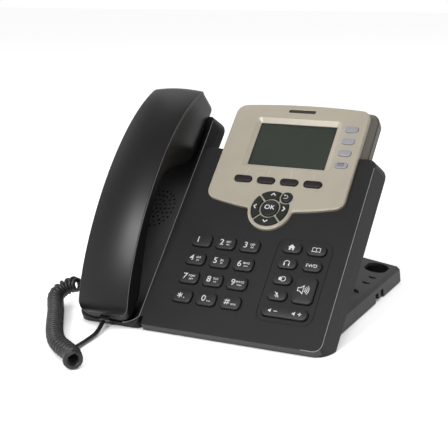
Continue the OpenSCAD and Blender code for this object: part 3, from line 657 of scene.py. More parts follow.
# ---- meshes ----
def point_object(name: str, points: Sequence[Sequence[float]], joined: bool = False) -> bpy.types.Object:
    """An object of loose or joined vertices that feeds a tree.

    Args:
        name: the object's name.
        points: places in metres.
        joined: whether an edge joins each point to the next.

    Returns:
        The object, linked to the scene.
    """
    mesh = bpy.data.meshes.new(name)
    edges = [(i, i + 1) for i in range(len(points) - 1)] if joined else []
    mesh.from_pydata([tuple(p) for p in points], edges, [])
    return link_object(name, mesh)


def smooth_by_angle(mesh: bpy.types.Mesh, degrees: float) -> None:
    """Shades a mesh smooth up to an angle."""
    mesh.shade_smooth()
    mesh.set_sharp_from_angle(angle=math.radians(degrees))


def keep_piece(
    piece: bpy.types.Object,
    finish: AnyFinish,
    body: str,
    replaces: Iterable[str] = (),
) -> bpy.types.Object:
    """Dresses a finished piece and ties it to its body.

    Args:
        piece: the object, with its place in its mesh.
        finish: what it is made of.
        body: the body that it rides on.
        replaces: the CAD nodes that it stands for.

    Returns:
        The same object.
    """
    if not piece.data.materials:
        piece.data.materials.append(finish.material())
    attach(piece, body)
    names = list(replaces)
    if names:
        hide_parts(*names)
    log.info("%s: %d faces", piece.name, len(piece.data.polygons))
    return piece


def mesh_piece(
    name: str, verts: Sequence[Sequence[float]], faces: Sequence[Sequence[int]], sharp: float = 40
) -> bpy.types.Object:
    """An object from points of the slope frame, its faces turned outwards.

    Args:
        name: the piece's name.
        verts: points in slope millimetres.
        faces: vertex numbers of each face.
        sharp: angle in degrees above which an edge stays sharp.

    Returns:
        The object, linked to the scene.
    """
    mesh = bpy.data.meshes.new(name)
    mesh.from_pydata([tuple(p) for p in verts], [], [tuple(f) for f in faces])
    mesh.transform(SLOPE.matrix())
    outward(mesh)
    smooth_by_angle(mesh, sharp)
    return link_object(name, mesh)


def outward(mesh: bpy.types.Mesh) -> None:
    """Turns a mesh's faces outwards.

    Args:
        mesh: a closed mesh.
    """
    work = bmesh.new()
    work.from_mesh(mesh)
    bmesh.ops.recalc_face_normals(work, faces=work.faces)
    work.to_mesh(mesh)
    work.free()


def strand_piece(
    name: str, points: Sequence[Sequence[float]], finish: Finish, radius: float, sides: int
) -> bpy.types.Object:
    """A round strand along a line.

    Args:
        name: the piece's name.
        points: the line in metres.
        finish: what it is made of.
        radius: its radius in millimetres.
        sides: flats round it.

    Returns:
        The object, linked to the scene.
    """
    base = point_object(name + "_line", points, joined=True)
    piece = STRAND.run(base, name, finish.material(), Radius=radius * MM, Sides=sides)
    outward(piece.data)
    return piece


def loft(rings: Sequence[Sequence[Point3]]) -> tuple[list[Point3], list[list[int]]]:
    """A closed skin over rings of equal length.

    Args:
        rings: the rings in order.

    Returns:
        Its points and faces, with the two end rings filled.
    """
    count = len(rings[0])
    verts = [p for ring in rings for p in ring]
    faces = [
        [j * count + i, j * count + (i + 1) % count, (j + 1) * count + (i + 1) % count, (j + 1) * count + i]
        for j in range(len(rings) - 1)
        for i in range(count)
    ]
    faces.append(list(range(count)))
    faces.append([(len(rings) - 1) * count + i for i in range(count)])
    return verts, faces


def pill_ring(w: float, l: float, r: float, steps: int = 7) -> list[Point2]:
    """A flat rounded rectangle round its own middle.

    Args:
        w: width.
        l: height.
        r: corner radius.
        steps: segments of each corner.

    Returns:
        Its points, counter-clockwise.
    """
    r = min(r, w / 2 - 0.005, l / 2 - 0.005)
    ring = []
    for i, (sx, sy) in enumerate(((1, 1), (-1, 1), (-1, -1), (1, -1))):
        for k in range(steps + 1):
            a = math.radians(90 * i + 90 * k / steps)
            ring.append((sx * (w / 2 - r) + r * math.cos(a), sy * (l / 2 - r) + r * math.sin(a)))
    return ring


# ---- legends ----
class Legend:
    """Flat print on a key: letters and small drawn signs, in millimetres round the key's middle."""

    thick = 0.05
    capital = 0.70  # height of a capital over the font's size

    def __init__(self) -> None:
        """Starts an empty legend."""
        self.work = bmesh.new()

    def face(self, points: Sequence[Point2]) -> None:
        """Adds a filled outline of few corners."""
        self.work.faces.new([self.work.verts.new((x, y, 0)) for x, y in points])

    def line(self, points: Sequence[Point2], width: float, closed: bool = False) -> None:
        """Adds a stroke of even width.

        Args:
            points: the stroke's middle line.
            width: its width.
            closed: whether the last point joins the first.
        """
        count = len(points)
        sides: list[tuple[Vector, Vector]] = []
        for i, p in enumerate(points):
            before = points[(i - 1) % count] if closed or i else p
            after = points[(i + 1) % count] if closed or i < count - 1 else p
            here = Vector(p)
            d0 = (here - Vector(before)).normalized() if before != p else None
            d1 = (Vector(after) - here).normalized() if after != p else None
            d0 = d0 or d1
            d1 = d1 or d0
            mid = (d0 + d1).normalized()
            normal = Vector((-mid.y, mid.x))
            grow = width / 2 / max(0.35, mid.dot(d1))
            sides.append((here + normal * grow, here - normal * grow))
        rows = [(self.work.verts.new((*a, 0)), self.work.verts.new((*b, 0))) for a, b in sides]
        for i in range(count if closed else count - 1):
            a, b = rows[i], rows[(i + 1) % count]
            self.work.faces.new((a[0], a[1], b[1], b[0]))

    def arc(
        self, x: float, y: float, r: float, start: float, end: float, width: float, steps: int = 14
    ) -> None:
        """Adds a stroked arc.

        Args:
            x: its centre across.
            y: its centre up the key.
            r: its radius.
            start: where it starts, in degrees from +x.
            end: where it ends; a full turn is closed.
            width: the stroke's width.
            steps: its segments.
        """
        full = abs(end - start) >= 359.9
        count = steps if full else steps + 1
        angles = [math.radians(start + (end - start) * k / steps) for k in range(count)]
        self.line([(x + r * math.cos(a), y + r * math.sin(a)) for a in angles], width, closed=full)

    def disc(self, x: float, y: float, r: float, steps: int = 16) -> None:
        """Adds a filled disc."""
        angles = [2 * math.pi * k / steps for k in range(steps)]
        self.face([(x + r * math.cos(a), y + r * math.sin(a)) for a in angles])

    def text(
        self, words: str, x: float, y: float, height: float, squeeze: float = 1.0, bold: float = 0.0
    ) -> None:
        """Adds letters whose middle is at x, y.

        Args:
            words: the letters.
            x: middle across.
            y: middle up the key.
            height: height of a capital.
            squeeze: width factor.
            bold: how far each outline is swollen.
        """
        font = bpy.data.curves.new("letters", "FONT")
        font.body = words
        font.align_x = "CENTER"
        font.align_y = "CENTER"
        font.size = height / self.capital
        font.offset = bold
        font.resolution_u = 3
        holder = link_object("letters", font)
        depsgraph = bpy.context.evaluated_depsgraph_get()
        mesh = bpy.data.meshes.new_from_object(holder.evaluated_get(depsgraph))
        mesh.transform(Matrix.Translation((x, y, 0)) @ Matrix.Diagonal((squeeze, 1, 1, 1)))
        self.work.from_mesh(mesh)
        bpy.data.objects.remove(holder)
        bpy.data.meshes.remove(mesh)

    def piece(self, name: str, x: float, v: float, n: float, body: str, finish: Finish) -> bpy.types.Object:
        """Gives the print a little thickness and lays it on the slope.

        Args:
            name: the piece's name.
            x: middle across the deck.
            v: middle up the slope.
            n: height of the face it is printed on.
            body: the body that it rides on.
            finish: its ink.

        Returns:
            The finished piece.
        """
        bmesh.ops.remove_doubles(self.work, verts=self.work.verts, dist=0.001)
        for f in self.work.faces:
            if f.normal.z < 0:
                f.normal_flip()
        flat = list(self.work.faces)
        grown = bmesh.ops.extrude_face_region(self.work, geom=flat, use_keep_orig=True)
        top = [g for g in grown["geom"] if isinstance(g, bmesh.types.BMVert)]
        bmesh.ops.translate(self.work, vec=(0, 0, self.thick), verts=top)
        bmesh.ops.reverse_faces(self.work, faces=flat)
        mesh = bpy.data.meshes.new(name)
        self.work.to_mesh(mesh)
        self.work.free()
        mesh.transform(SLOPE.matrix() @ Matrix.Translation((x, v, n)))
        return keep_piece(link_object(name, mesh), finish, body)


# ---- keys ----
@dataclass(frozen=True)
class KeyCap:
    """A rounded key cap with a flange below the deck and a softly crowned top.

    Its corner is the radius seen from above, its fillet the rounding of the top edge, and its crown the
    rise of the middle, which a dish turns into a hollow.
    """

    width: float
    length: float
    corner: float
    top: float
    foot: float
    flange: float = 0.8
    fillet: float = 0.9
    crown: float = 0.25
    dish: bool = False

    def rings(self) -> list[list[Point3]]:
        """The cap's rings from its foot to the middle of its top.

        Returns:
            The rings, in millimetres round the key's middle.
        """
        under = self.foot + self.flange
        levels = [(self.flange, self.foot), (self.flange, under), (0.0, under), (0.0, self.top - self.fillet)]
        for k in range(1, 6):
            a = math.radians(18 * k)
            levels.append((-self.fillet * (1 - math.cos(a)), self.top - self.fillet * (1 - math.sin(a))))
        rings = [self.ring(grow, n) for grow, n in levels]
        reach = min(self.width, self.length) / 2 - self.fillet
        for k in range(1, 7):
            share = k / 7
            rise = self.crown * (1 - (1 - share) ** 2) * (-1 if self.dish else 1)
            rings.append(self.ring(-self.fillet - reach * share, self.top + rise))
        return rings

    def ring(self, grow: float, n: float) -> list[Point3]:
        """One ring of the cap, grown or shrunk, at a height."""
        flat = pill_ring(self.width + 2 * grow, self.length + 2 * grow, max(self.corner + grow, 0.3))
        return [(x, y, n) for x, y in flat]

    def make(self, node: str, x: float, v: float, finish: Finish) -> bpy.types.Object:
        """Builds the cap in the place of a CAD key.

        Args:
            node: the key that it stands for.
            x: middle across the deck.
            v: middle up the slope.
            finish: its plastic.

        Returns:
            The finished piece.
        """
        verts, faces = loft(self.rings())
        moved = [(x + p[0], v + p[1], p[2]) for p in verts]
        piece = mesh_piece(f"cap_{node}", moved, faces, sharp=35)
        return keep_piece(piece, finish, f"{node}_body", [node])


@dataclass(frozen=True)
class KeyField:
    """Sizes that the key groups share, in slope millimetres; fn stands for the function keys."""

    rise: float = 1.9
    foot: float = -3.3
    dial_pitch_x: float = 19.0
    dial_pitch_v: float = 15.2
    dial_x: float = 1.5
    dial_v: float = 29.8
    fn_pitch_x: float = 18.4
    fn_pitch_v: float = 12.5
    fn_x: float = 52.5
    fn_v: float = 40.3
    rocker_v: float = 28.0
    plate_x: float = 27.0
    nav_v: float = 106.6
    plate_top: float = 4.4


FIELD = KeyField()


class DialPad:
    """The twelve dial keys and their print."""

    names = ("1", "2", "3", "4", "5", "6", "7", "8", "9", "star", "0", "hash")
    letters = ("", "ABC", "DEF", "GHI", "JKL", "MNO", "PQRS", "TUV", "WXYZ", "", "", "")

    def __init__(self) -> None:
        """Sets the caps' sizes."""
        self.cap = KeyCap(15.4, 10.0, 3.5, FIELD.rise, FIELD.foot)

    def build(self) -> None:
        """Builds the caps and prints them."""
        level = FIELD.rise + self.cap.crown * 0.8
        for i, name in enumerate(self.names):
            x = FIELD.dial_x + (i % 3 - 1) * FIELD.dial_pitch_x
            v = FIELD.dial_v + (3 - i // 3) * FIELD.dial_pitch_v
            node = f"key_{name}"
            self.cap.make(node, x, v, KEY)
            self.print_on(i, name).piece(f"print_{node}", x, v, level, f"{node}_body", PRINT)

    def print_on(self, i: int, name: str) -> Legend:
        """The print of one key.

        Args:
            i: the key's place in reading order.
            name: its short name.

        Returns:
            The legend.
        """
        sign = Legend()
        group = self.letters[i]
        if name == "star":
            for a in (90, 30, -30):
                c, s = math.cos(math.radians(a)), math.sin(math.radians(a))
                sign.line([(-1.4 - 2.1 * c, -2.1 * s), (-1.4 + 2.1 * c, 2.1 * s)], 0.75)
            sign.disc(2.2, -1.6, 0.45)
        elif name == "hash":
            for k in (-0.85, 0.85):
                sign.line([(-2.4 + k - 0.4, -2.1), (-2.4 + k + 0.4, 2.1)], 0.62)
                sign.line([(-4.5, k), (-0.3, k)], 0.62)
            sign.text("SEND", 2.9, -1.5, 1.25, 0.95, 0.02)
        else:
            sign.text(name, -1.6 if name == "0" else -2.7, 0, 4.6, 1.1, 0.05)
            if name == "0":
                sign.line([(1.4, -1.0), (1.4, -1.7), (3.6, -1.7), (3.6, -1.0)], 0.4)
            if group:
                sign.text(group, 2.5, 0.8, 1.6, 0.95, 0.04)
                sign.text(group.lower(), 2.5, -1.35, 1.4, 0.95, 0.03)
        return sign


class FunctionPad:
    """The function keys right of the dial pad."""

    small = (
        ("home_key", 0, 0),
        ("phonebook_key", 1, 0),
        ("headset_key", 0, 1),
        ("forward_key", 1, 1),
        ("conference_key", 0, 2),
        ("mute_key", 0, 3),
    )

    def __init__(self) -> None:
        """Sets the caps' sizes."""
        self.cap = KeyCap(14.4, 8.0, 3.9, FIELD.rise, FIELD.foot, fillet=0.8, crown=0.2)
        self.tall = KeyCap(15.4, 20.5, 3.5, FIELD.rise, FIELD.foot, crown=0.3)
        self.rocker = KeyCap(33.7, 8.0, 3.9, FIELD.rise, FIELD.foot - 0.6, fillet=0.8, crown=0.2)
        self.signs: dict[str, Callable[[Legend], None]] = {
            "home_key": self.draw_home,
            "phonebook_key": self.draw_phonebook,
            "headset_key": self.draw_headset,
            "forward_key": self.draw_forward,
            "conference_key": self.draw_conference,
            "mute_key": self.draw_mute,
        }

    def build(self) -> None:
        """Builds the caps and prints them."""
        level = FIELD.rise + self.cap.crown * 0.75
        for node, column, row in self.small:
            x = FIELD.fn_x + column * FIELD.fn_pitch_x
            v = FIELD.fn_v + (3 - row) * FIELD.fn_pitch_v
            self.cap.make(node, x, v, KEY)
            sign = Legend()
            self.signs[node](sign)
            sign.piece(f"print_{node}", x, v, level, f"{node}_body", PRINT)
        x = FIELD.fn_x + FIELD.fn_pitch_x
        v = FIELD.fn_v + FIELD.fn_pitch_v / 2
        self.tall.make("speaker_key", x, v, KEY)
        self.speaker(1.0, 3).piece("print_speaker_key", x, v, FIELD.rise + 0.25, "speaker_key_body", PRINT)
        x = FIELD.fn_x + FIELD.fn_pitch_x / 2
        self.rocker.make("volume_rocker", x, FIELD.rocker_v, KEY)
        for side, name in ((-1, "quieter"), (1, "louder")):
            sign = self.speaker(0.5, 0, -1.6)
            sign.line([(1.2, 0), (3.8, 0)], 0.6)
            if side > 0:
                sign.line([(2.5, -1.3), (2.5, 1.3)], 0.6)
            sign.piece(f"print_{name}", x + side * 8.8, FIELD.rocker_v, level, "volume_rocker_body", PRINT)

    def speaker(self, size: float, waves: int, x: float = -2.0) -> Legend:
        """A loudspeaker sign with sound waves.

        Args:
            size: scale of the sign.
            waves: number of waves.
            x: middle of the cone.

        Returns:
            The legend.
        """
        sign = Legend()
        cone = [(-2.6, -1.2), (-1.0, -1.2), (1.3, -3.1), (1.3, 3.1), (-1.0, 1.2), (-2.6, 1.2)]
        outline = [(x + a * size, b * size) for a, b in cone]
        if waves:
            sign.line(outline, 0.55, closed=True)
        else:
            sign.face(outline)
        for k in range(waves):
            sign.arc(x + 0.6, 0, (2.2 + 1.3 * k) * size, -42, 42, 0.55)
        return sign

    def draw_home(self, sign: Legend) -> None:
        """A small house.

        Args:
            sign: the legend to draw on.
        """
        sign.face([(-2.7, 0.1), (2.7, 0.1), (0, 2.5)])
        sign.face([(-1.9, -2.1), (-0.6, -2.1), (-0.6, 0.1), (-1.9, 0.1)])
        sign.face([(0.6, -2.1), (1.9, -2.1), (1.9, 0.1), (0.6, 0.1)])
        sign.face([(-0.6, -0.7), (0.6, -0.7), (0.6, 0.1), (-0.6, 0.1)])

    def draw_phonebook(self, sign: Legend) -> None:
        """An open book.

        Args:
            sign: the legend to draw on.
        """
        for s in (-1, 1):
            page = [(0, -1.5), (s * 1.5, -1.1), (s * 2.9, -1.5), (s * 2.9, 1.5), (s * 1.5, 1.9), (0, 1.5)]
            sign.line(page, 0.42)
        sign.line([(0, -1.6), (0, 1.6)], 0.42)

    def draw_headset(self, sign: Legend) -> None:
        """A headband with two ear pads.

        Args:
            sign: the legend to draw on.
        """
        sign.arc(0, -0.3, 2.1, 0, 180, 0.5)
        for s in (-1, 1):
            inner, outer = s * 1.75 - 0.45, s * 1.75 + 0.45
            sign.face([(inner, -2.1), (outer, -2.1), (outer, -0.2), (inner, -0.2)])

    def draw_forward(self, sign: Legend) -> None:
        """The forward key's three letters."""
        sign.text("FWD", 0, 0, 2.5, 1.05, 0.04)

    def draw_conference(self, sign: Legend) -> None:
        """Two people at one table, drawn as a disc and a ring."""
        sign.disc(-1.1, 0, 1.35)
        sign.arc(1.0, 0, 1.75, 0, 360, 0.5, 20)

    def draw_mute(self, sign: Legend) -> None:
        """A crossed-out microphone.

        Args:
            sign: the legend to draw on.
        """
        sign.line([(0, -0.4), (0, 1.5)], 1.3)
        sign.arc(0, 0.3, 1.5, 200, 340, 0.4)
        sign.line([(0, -1.3), (0, -2.1)], 0.4)
        sign.line([(-1.8, 2.0), (1.8, -2.0)], 0.4)


class DisplayPod:
    """The screen, the keys on the plate, their print and guide lines.

    A name ending in v is a place up the slope; back_at is the back key's place from the middle of the OK key.
    """

    window_v = 163.0
    window_w = 61.6
    window_l = 38.2
    line_x = 70.0
    line_v = 148.0
    line_pitch = 10.5
    soft_v = 129.7
    soft_pitch = 18.4
    soft_shift = -1.0
    plate_face = 3.0
    back_at: Point2 = (14.3 * 0.72, 14.3 * 0.7)
    arrow_ring = 11.2
    corner = 1.0

    def __init__(self) -> None:
        """Sets the caps' sizes."""
        foot = -0.5
        self.soft = KeyCap(14.0, 5.5, 2.7, FIELD.plate_top, foot, flange=0.7, fillet=0.7, crown=0.15)
        self.line = KeyCap(10.2, 5.4, 2.5, 3.9, foot, flange=0.6, fillet=0.5, crown=0.15)
        self.round = KeyCap(8.6, 8.6, 4.3, FIELD.plate_top, foot, flange=0.5, fillet=0.7, crown=0.15)
        self.ok = KeyCap(13.6, 13.6, 6.8, FIELD.plate_top, foot, flange=0.5, fillet=0.9, crown=0.5, dish=True)

    def build(self) -> None:
        """Builds the screen and the plate's keys."""
        self.screen()
        for i in range(4):
            self.soft.make(f"soft_key_{i + 1}", self.soft_x(i), self.soft_v, SOFT_KEY)
        for i, node in enumerate(("message_key", "line_key_3", "line_key_2", "line_key_1")):
            v = self.line_v + i * self.line_pitch
            self.line.make(node, self.line_x, v, LINE_KEY)
            if node == "message_key":
                sign = Legend()
                sign.line([(-2.1, -1.15), (2.1, -1.15), (2.1, 1.15), (-2.1, 1.15)], 0.4, closed=True)
                sign.line([(-2.0, 1.1), (0, -0.25), (2.0, 1.1)], 0.4)
                sign.piece("print_message_key", self.line_x, v, self.line.top + 0.1, "message_key_body", INK)
        self.navigation()
        self.guides()

    def soft_x(self, i: int) -> float:
        """The middle of a soft key across the deck, counted from the left."""
        return FIELD.plate_x + self.soft_shift + (i - 1.5) * self.soft_pitch

    def navigation(self) -> None:
        """The OK and back keys, and the arrows' print."""
        x, v = FIELD.plate_x, FIELD.nav_v
        self.ok.make("ok_key", x, v, NAV_KEY)
        sign = Legend()
        sign.text("OK", 0, 0.4, 3.6, 1.1, 0.1)
        sign.piece("print_ok_key", x, v, FIELD.plate_top - 0.32, "ok_key_body", PRINT)
        bx, bv = x + self.back_at[0], v + self.back_at[1]
        self.round.make("back_key", bx, bv, NAV_KEY)
        sign = Legend()
        sign.arc(-0.1, 0, 1.25, -90, 80, 0.42)
        sign.line([(-0.1, -1.25), (-1.6, -1.25)], 0.42)
        sign.line([(-0.1, 1.25), (-1.2, 1.25)], 0.42)
        sign.face([(-2.2, 1.25), (-1.1, 0.45), (-1.1, 2.05)])
        sign.piece("print_back_key", bx, bv, FIELD.plate_top + 0.1, "back_key_body", PRINT)
        for name, a in (("right", 0), ("up", 90), ("left", 180), ("down", 270)):
            c, s = math.cos(math.radians(a)), math.sin(math.radians(a))
            sign = Legend()
            chevron = [(-0.8, 1.75), (0.85, 0), (-0.8, -1.75)]
            sign.line([(p * c - q * s, p * s + q * c) for p, q in chevron], 0.8)
            ax, av = x + self.arrow_ring * c, v + self.arrow_ring * s
            sign.piece(f"print_nav_{name}", ax, av, FIELD.plate_top, f"nav_{name}_body", PRINT)

    def screen(self) -> None:
        """The glass over the display, and the dark border behind it."""
        w, l = self.window_w, self.window_l
        glass = [
            self.screen_ring(w + more_w, l + more_l, n)
            for more_w, more_l, n in ((4, 3, 0.1), (4, 3, 0.55), (3.9, 2.9, 0.6))
        ]
        keep_piece(mesh_piece("glass_display", *loft(glass)), LENS, Body.BASE.value, ["display_lens"])
        border = [
            self.screen_ring(w + more_w, l + more_l, n)
            for more_w, more_l in ((3.4, 2.4), (-3.0, -2.8))
            for n in (0.02, 0.08)
        ]
        count = len(border[0])
        points = [p for ring in border for p in ring]
        walls = []
        for i in range(count):
            k = (i + 1) % count
            for first, second in ((0, 1), (1, 3), (3, 2), (2, 0)):
                a, b = first * count, second * count
                walls.append([a + i, a + k, b + k, b + i])
        keep_piece(mesh_piece("screen_mask", points, walls), MASK, Body.BASE.value)

    def screen_ring(self, w: float, l: float, n: float) -> list[Point3]:
        """A rounded rectangle round the window's middle, at a height."""
        return [(x + FIELD.plate_x, y + self.window_v, n) for x, y in pill_ring(w, l, self.corner)]

    def guides(self) -> None:
        """Thin printed lines from the screen to its keys."""
        lines = Legend()
        right = FIELD.plate_x + self.window_w / 2 + 4.6
        for i in range(1, 4):
            v = self.line_v + i * self.line_pitch
            lines.line([(right, v - 1.5), (right + 1.8, v - 1.5), (self.line_x - 5.6, v)], 0.25)
        low = self.window_v - self.window_l / 2 - 4.4
        for i, lean in enumerate((-2.0, -0.8, 0.8, 2.0)):
            x = self.soft_x(i)
            lines.line([(x - lean, low), (x, self.soft_v + 3.4)], 0.25)
        lines.piece("guide_lines", 0, 0, self.plate_face, Body.BASE.value, GUIDE)


class FrontLip:
    """The upper band of the housing's front face, carried on round its right corner.

    The wall leans outwards as it goes down, and is chamfered at its top. The band stands a little proud of
    it, and its colour, paler than the case's, is painted light: the lit front face.
    """

    corner: Point2 = (87.8, 10.1)
    left = -41.2
    heights = (-0.02, -0.25, -0.5, -1.5, -3.0, -4.6)
    wall = 6.6
    lean = 4.4 / 16.5
    chamfer = 0.5
    thick = 1.0
    proud = 0.1
    steps = 12
    sink_from = 8

    def reach(self, n: float) -> float:
        """Distance of the wall from the corner's centre at height n."""
        cut = 0.45 + 0.9 * n if n > -self.chamfer else 0.0
        return self.wall - self.lean * n - cut

    def build(self) -> None:
        """Builds the band as one closed skin, which sinks into the wall at its far end."""
        rings = []
        for k in range(self.steps + 1):
            turn = math.radians(max(0, k - 1) * 5.0)
            x = self.left if not k else self.corner[0]
            sink = max(0.0, (k - self.sink_from) / (self.steps - self.sink_from))
            out = self.proud - 2 * self.proud * sink
            ring = [(self.reach(n) + out, n) for n in self.heights]
            ring += [(self.reach(n) - self.thick, n) for n in reversed(self.heights)]
            rings.append([(x + r * math.sin(turn), self.corner[1] - r * math.cos(turn), n) for r, n in ring])
        keep_piece(mesh_piece("front_lip", *loft(rings), sharp=60), LIT_LIP, Body.BASE.value)


class PodSkirt:
    """The taupe side of the pod, carried on over the front of its back."""

    half = 54.0
    top_v = 199.0
    top_radius = 600.0
    corner = 8.0
    low_v = 157.0
    section = ((3.55, -6.45), (4.06, -7.2), (4.06, -12.2), (3.7, -12.6), (3.2, -12.6), (3.2, -6.45))

    def rim(self, grow: float) -> list[Point2]:
        """The pod's outline from its lower right corner over the top to the lower left.

        Args:
            grow: how far it stands out from the plate's outline.

        Returns:
            Points in slope millimetres.
        """
        x, r, big = self.half + grow - self.corner, self.corner, self.top_radius + grow
        base = self.top_v - self.top_radius
        v = base + math.sqrt((big - r) ** 2 - x**2)
        lean = math.atan2(v - base, x)
        side = [(x + r, self.low_v), (x + r, (self.low_v + v) / 2)]
        side += [(x + r * math.cos(lean * k / 10), v + r * math.sin(lean * k / 10)) for k in range(11)]
        for k in range(1, 12):
            a = lean + (math.pi / 2 - lean) * k / 12
            side.append((big * math.cos(a), base + big * math.sin(a)))
        whole = side + [(0.0, base + big)] + [(-a, b) for a, b in reversed(side)]
        return [(FIELD.plate_x + a, b) for a, b in whole]

    def build(self) -> None:
        """Builds the skirt as one closed band, from its section's outward steps and heights."""
        rims = [self.rim(grow) for grow, _ in self.section]
        rings = [[(*rim[i], n) for rim, (_, n) in zip(rims, self.section)] for i in range(len(rims[0]))]
        keep_piece(mesh_piece("pod_skirt", *loft(rings)), FRAME, Body.BASE.value)


class CrestHighlights:
    """The housing's crests, drawn as pale thin beads: painted highlight lines."""

    radius = 0.3
    bend_v = 80.0
    right = 93.9
    corner_radius = 6.15
    inner = -45.6
    cradle_end: Point2 = (-58.6, 19.2)
    cradle_radius = 16.0

    def build(self) -> None:
        """Lays one bead along each crest."""
        corner = self.arc(FrontLip.corner, self.corner_radius, 0, -90)
        self.bead("crest_right_highlight", [(self.right, 150.0), (self.right, self.bend_v), *corner, (80.0, 3.95)])
        end = self.arc(self.cradle_end, self.cradle_radius, -35.7, -84)
        top = [(self.inner - 0.4, 182.0), (self.inner, 154.0), (self.inner, self.bend_v)]
        self.bead("crest_cradle_highlight", [*top, *end])

    @staticmethod
    def arc(center: Point2, radius: float, start: float, end: float, steps: int = 8) -> list[Point2]:
        """Points of an arc from start to end in degrees."""
        angles = [math.radians(start + (end - start) * k / steps) for k in range(steps + 1)]
        return [(center[0] + radius * math.cos(a), center[1] + radius * math.sin(a)) for a in angles]

    def bead(self, name: str, line: Sequence[Point2]) -> None:
        """A bead along a line on the deck plane.

        Args:
            name: the piece's name.
            line: corners, x and v in slope millimetres.
        """
        points = [SLOPE.point(x, v, -0.1) for x, v in line]
        keep_piece(strand_piece(name, points, CREST_HIGHLIGHT, self.radius, 8), CREST_HIGHLIGHT, Body.BASE.value)


# ---- handset ----
@dataclass(frozen=True)
class Handset:
    """The handset's two shells, lofted along a curved long edge, and a pale bead there: a painted highlight.
    """

    middle: float = -70.0
    v0: float = 4.0
    length: float = 192.0
    width: float = 41.2
    crown: float = 2.6
    # the long edge: heights of its four control points, and how far the inner two stand from the ends
    edge_n: tuple[float, ...] = (8.0, 34.0, 58.0, 22.0)
    edge_reach: Point2 = (28.0, 57.0)
    # rounding of both ends from above, of the ear end's back, and of the end faces
    end_r: float = 6.0
    top_r: float = 8.0
    fillet: float = 1.3
    # the underside: low at the mouth and the ear, with the hollow grip between them
    mouth: float = -2.0
    ear: float = -4.0
    ear_v: float = 170.0
    mic_v: float = 27.0
    grip_v: float = 24.0
    grip_run: float = 84.0
    grip_rise: float = 29.0
    ear_reach: float = 62.0
    ear_run: float = 43.0
    # the back shell's straight side and lower bevel, and how far it overhangs the front shell
    side: float = 1.4
    bevel: float = 0.25
    overhang: float = 0.45
    stations: int = 110
    # count and radius of each ring of sound holes
    hole_rings: tuple[tuple[int, float], ...] = ((6, 5.0), (12, 9.5))
    hole_r: float = 0.95
    # the cord's socket: half its width, half its height, and its middle's height
    socket: Point3 = (3.9, 2.2, 2.6)

    def edge(self, t: float) -> Point2:
        """A point of the long edge, a cubic Bezier curve.

        Args:
            t: the curve's own parameter, 0 to 1.

        Returns:
            Its v and n.
        """
        v1 = self.v0 + self.length
        edge_v = (self.v0, self.v0 + self.edge_reach[0], v1 - self.edge_reach[1], v1)
        weights = ((1 - t) ** 3, 3 * (1 - t) ** 2 * t, 3 * (1 - t) * t * t, t**3)
        return sum(w * v for w, v in zip(weights, edge_v)), sum(w * n for w, n in zip(weights, self.edge_n))

    @staticmethod
    def end_round(r: float, d: float) -> float:
        """How far a rounded end has come in at distance d from it."""
        return r - math.sqrt(max(r * r - (r - d) ** 2, 0)) if d < r else 0.0

    def half(self, v: float) -> float:
        """Half the width at v."""
        v1 = self.v0 + self.length
        return self.width / 2 - self.end_round(self.end_r, v - self.v0) - self.end_round(self.end_r, v1 - v)

    def under(self, v: float) -> float:
        """Height of the underside at v.

        Args:
            v: place along the handset.

        Returns:
            The height, hollow at the grip and low at both ends.
        """
        rise = math.sin(math.radians(90 * min(max((v - self.grip_v) / self.grip_run, 0), 1)))
        t = min(max((v - (self.ear_v - self.ear_reach)) / self.ear_run, 0), 1)
        drop = self.grip_rise + self.mouth - self.ear
        return self.mouth + self.grip_rise * rise - drop * t * t * (3 - 2 * t)

    def part(self, v: float, n: float) -> float:
        """Height of the line where the shells meet."""
        return n - self.end_round(self.top_r, self.v0 + self.length - v) - 2

    def back_ring(self, v: float, n: float, shrink: float = 0.0) -> list[Point3]:
        """A section of the back shell.

        Args:
            v: place along the handset.
            n: height of the long edge there.
            shrink: how far the section has come in near an end.

        Returns:
            The ring, in slope millimetres.
        """
        w, p = self.half(v) - shrink, self.part(v, n) + shrink
        c = self.crown * min(1.0, w / 14)
        flat, shoulder, count = w - 0.6, p + self.side, 30

        def top(x: float) -> float:
            """Height of the crowned back at x."""
            return p + self.side + 0.9 + c * (1 - (x / w) ** 2) - shrink * 1.6

        turn = (shoulder + top(flat)) / 2 + 0.15
        ring: list[Point2] = [(w - self.bevel, p), (w, p + self.bevel), (w, shoulder), (w - 0.22, turn)]
        for i in range(count + 1):
            x = flat * math.cos(math.pi * i / count)
            ring.append((x, top(x)))
        ring += [(-w + 0.22, turn), (-w, shoulder), (-w, p + self.bevel), (-w + self.bevel, p)]
        return [(self.middle + x, v, z) for x, z in ring]

    def front_ring(self, v: float, n: float, shrink: float = 0.0) -> list[Point3]:
        """A section of the front shell, which the back shell overhangs a little.

        Args:
            v: place along the handset.
            n: height of the long edge there.
            shrink: how far the section has come in near an end.

        Returns:
            The ring, in slope millimetres.
        """
        w, p, b = self.half(v) - self.overhang - shrink, self.part(v, n), self.under(v) + shrink
        r = max(0.5, min(6.5, (p - b) * 0.8, w - 2))
        steps = 8
        ring: list[Point2] = [(-w, p), (-w, b + r)]
        for i in range(1, steps + 1):
            a = math.radians(90 * i / steps)
            ring.append((-w + r - r * math.cos(a), b + r - r * math.sin(a)))
        for i in range(steps + 1):
            a = math.radians(90 * i / steps)
            ring.append((w - r + r * math.sin(a), b + r - r * math.cos(a)))
        ring.append((w, p))
        return [(self.middle + x, v, z) for x, z in ring]

    def shrink(self, v: float) -> float:
        """How far a section has come in for the fillet of the end faces."""
        return self.end_round(self.fillet, min(v - self.v0, self.v0 + self.length - v))

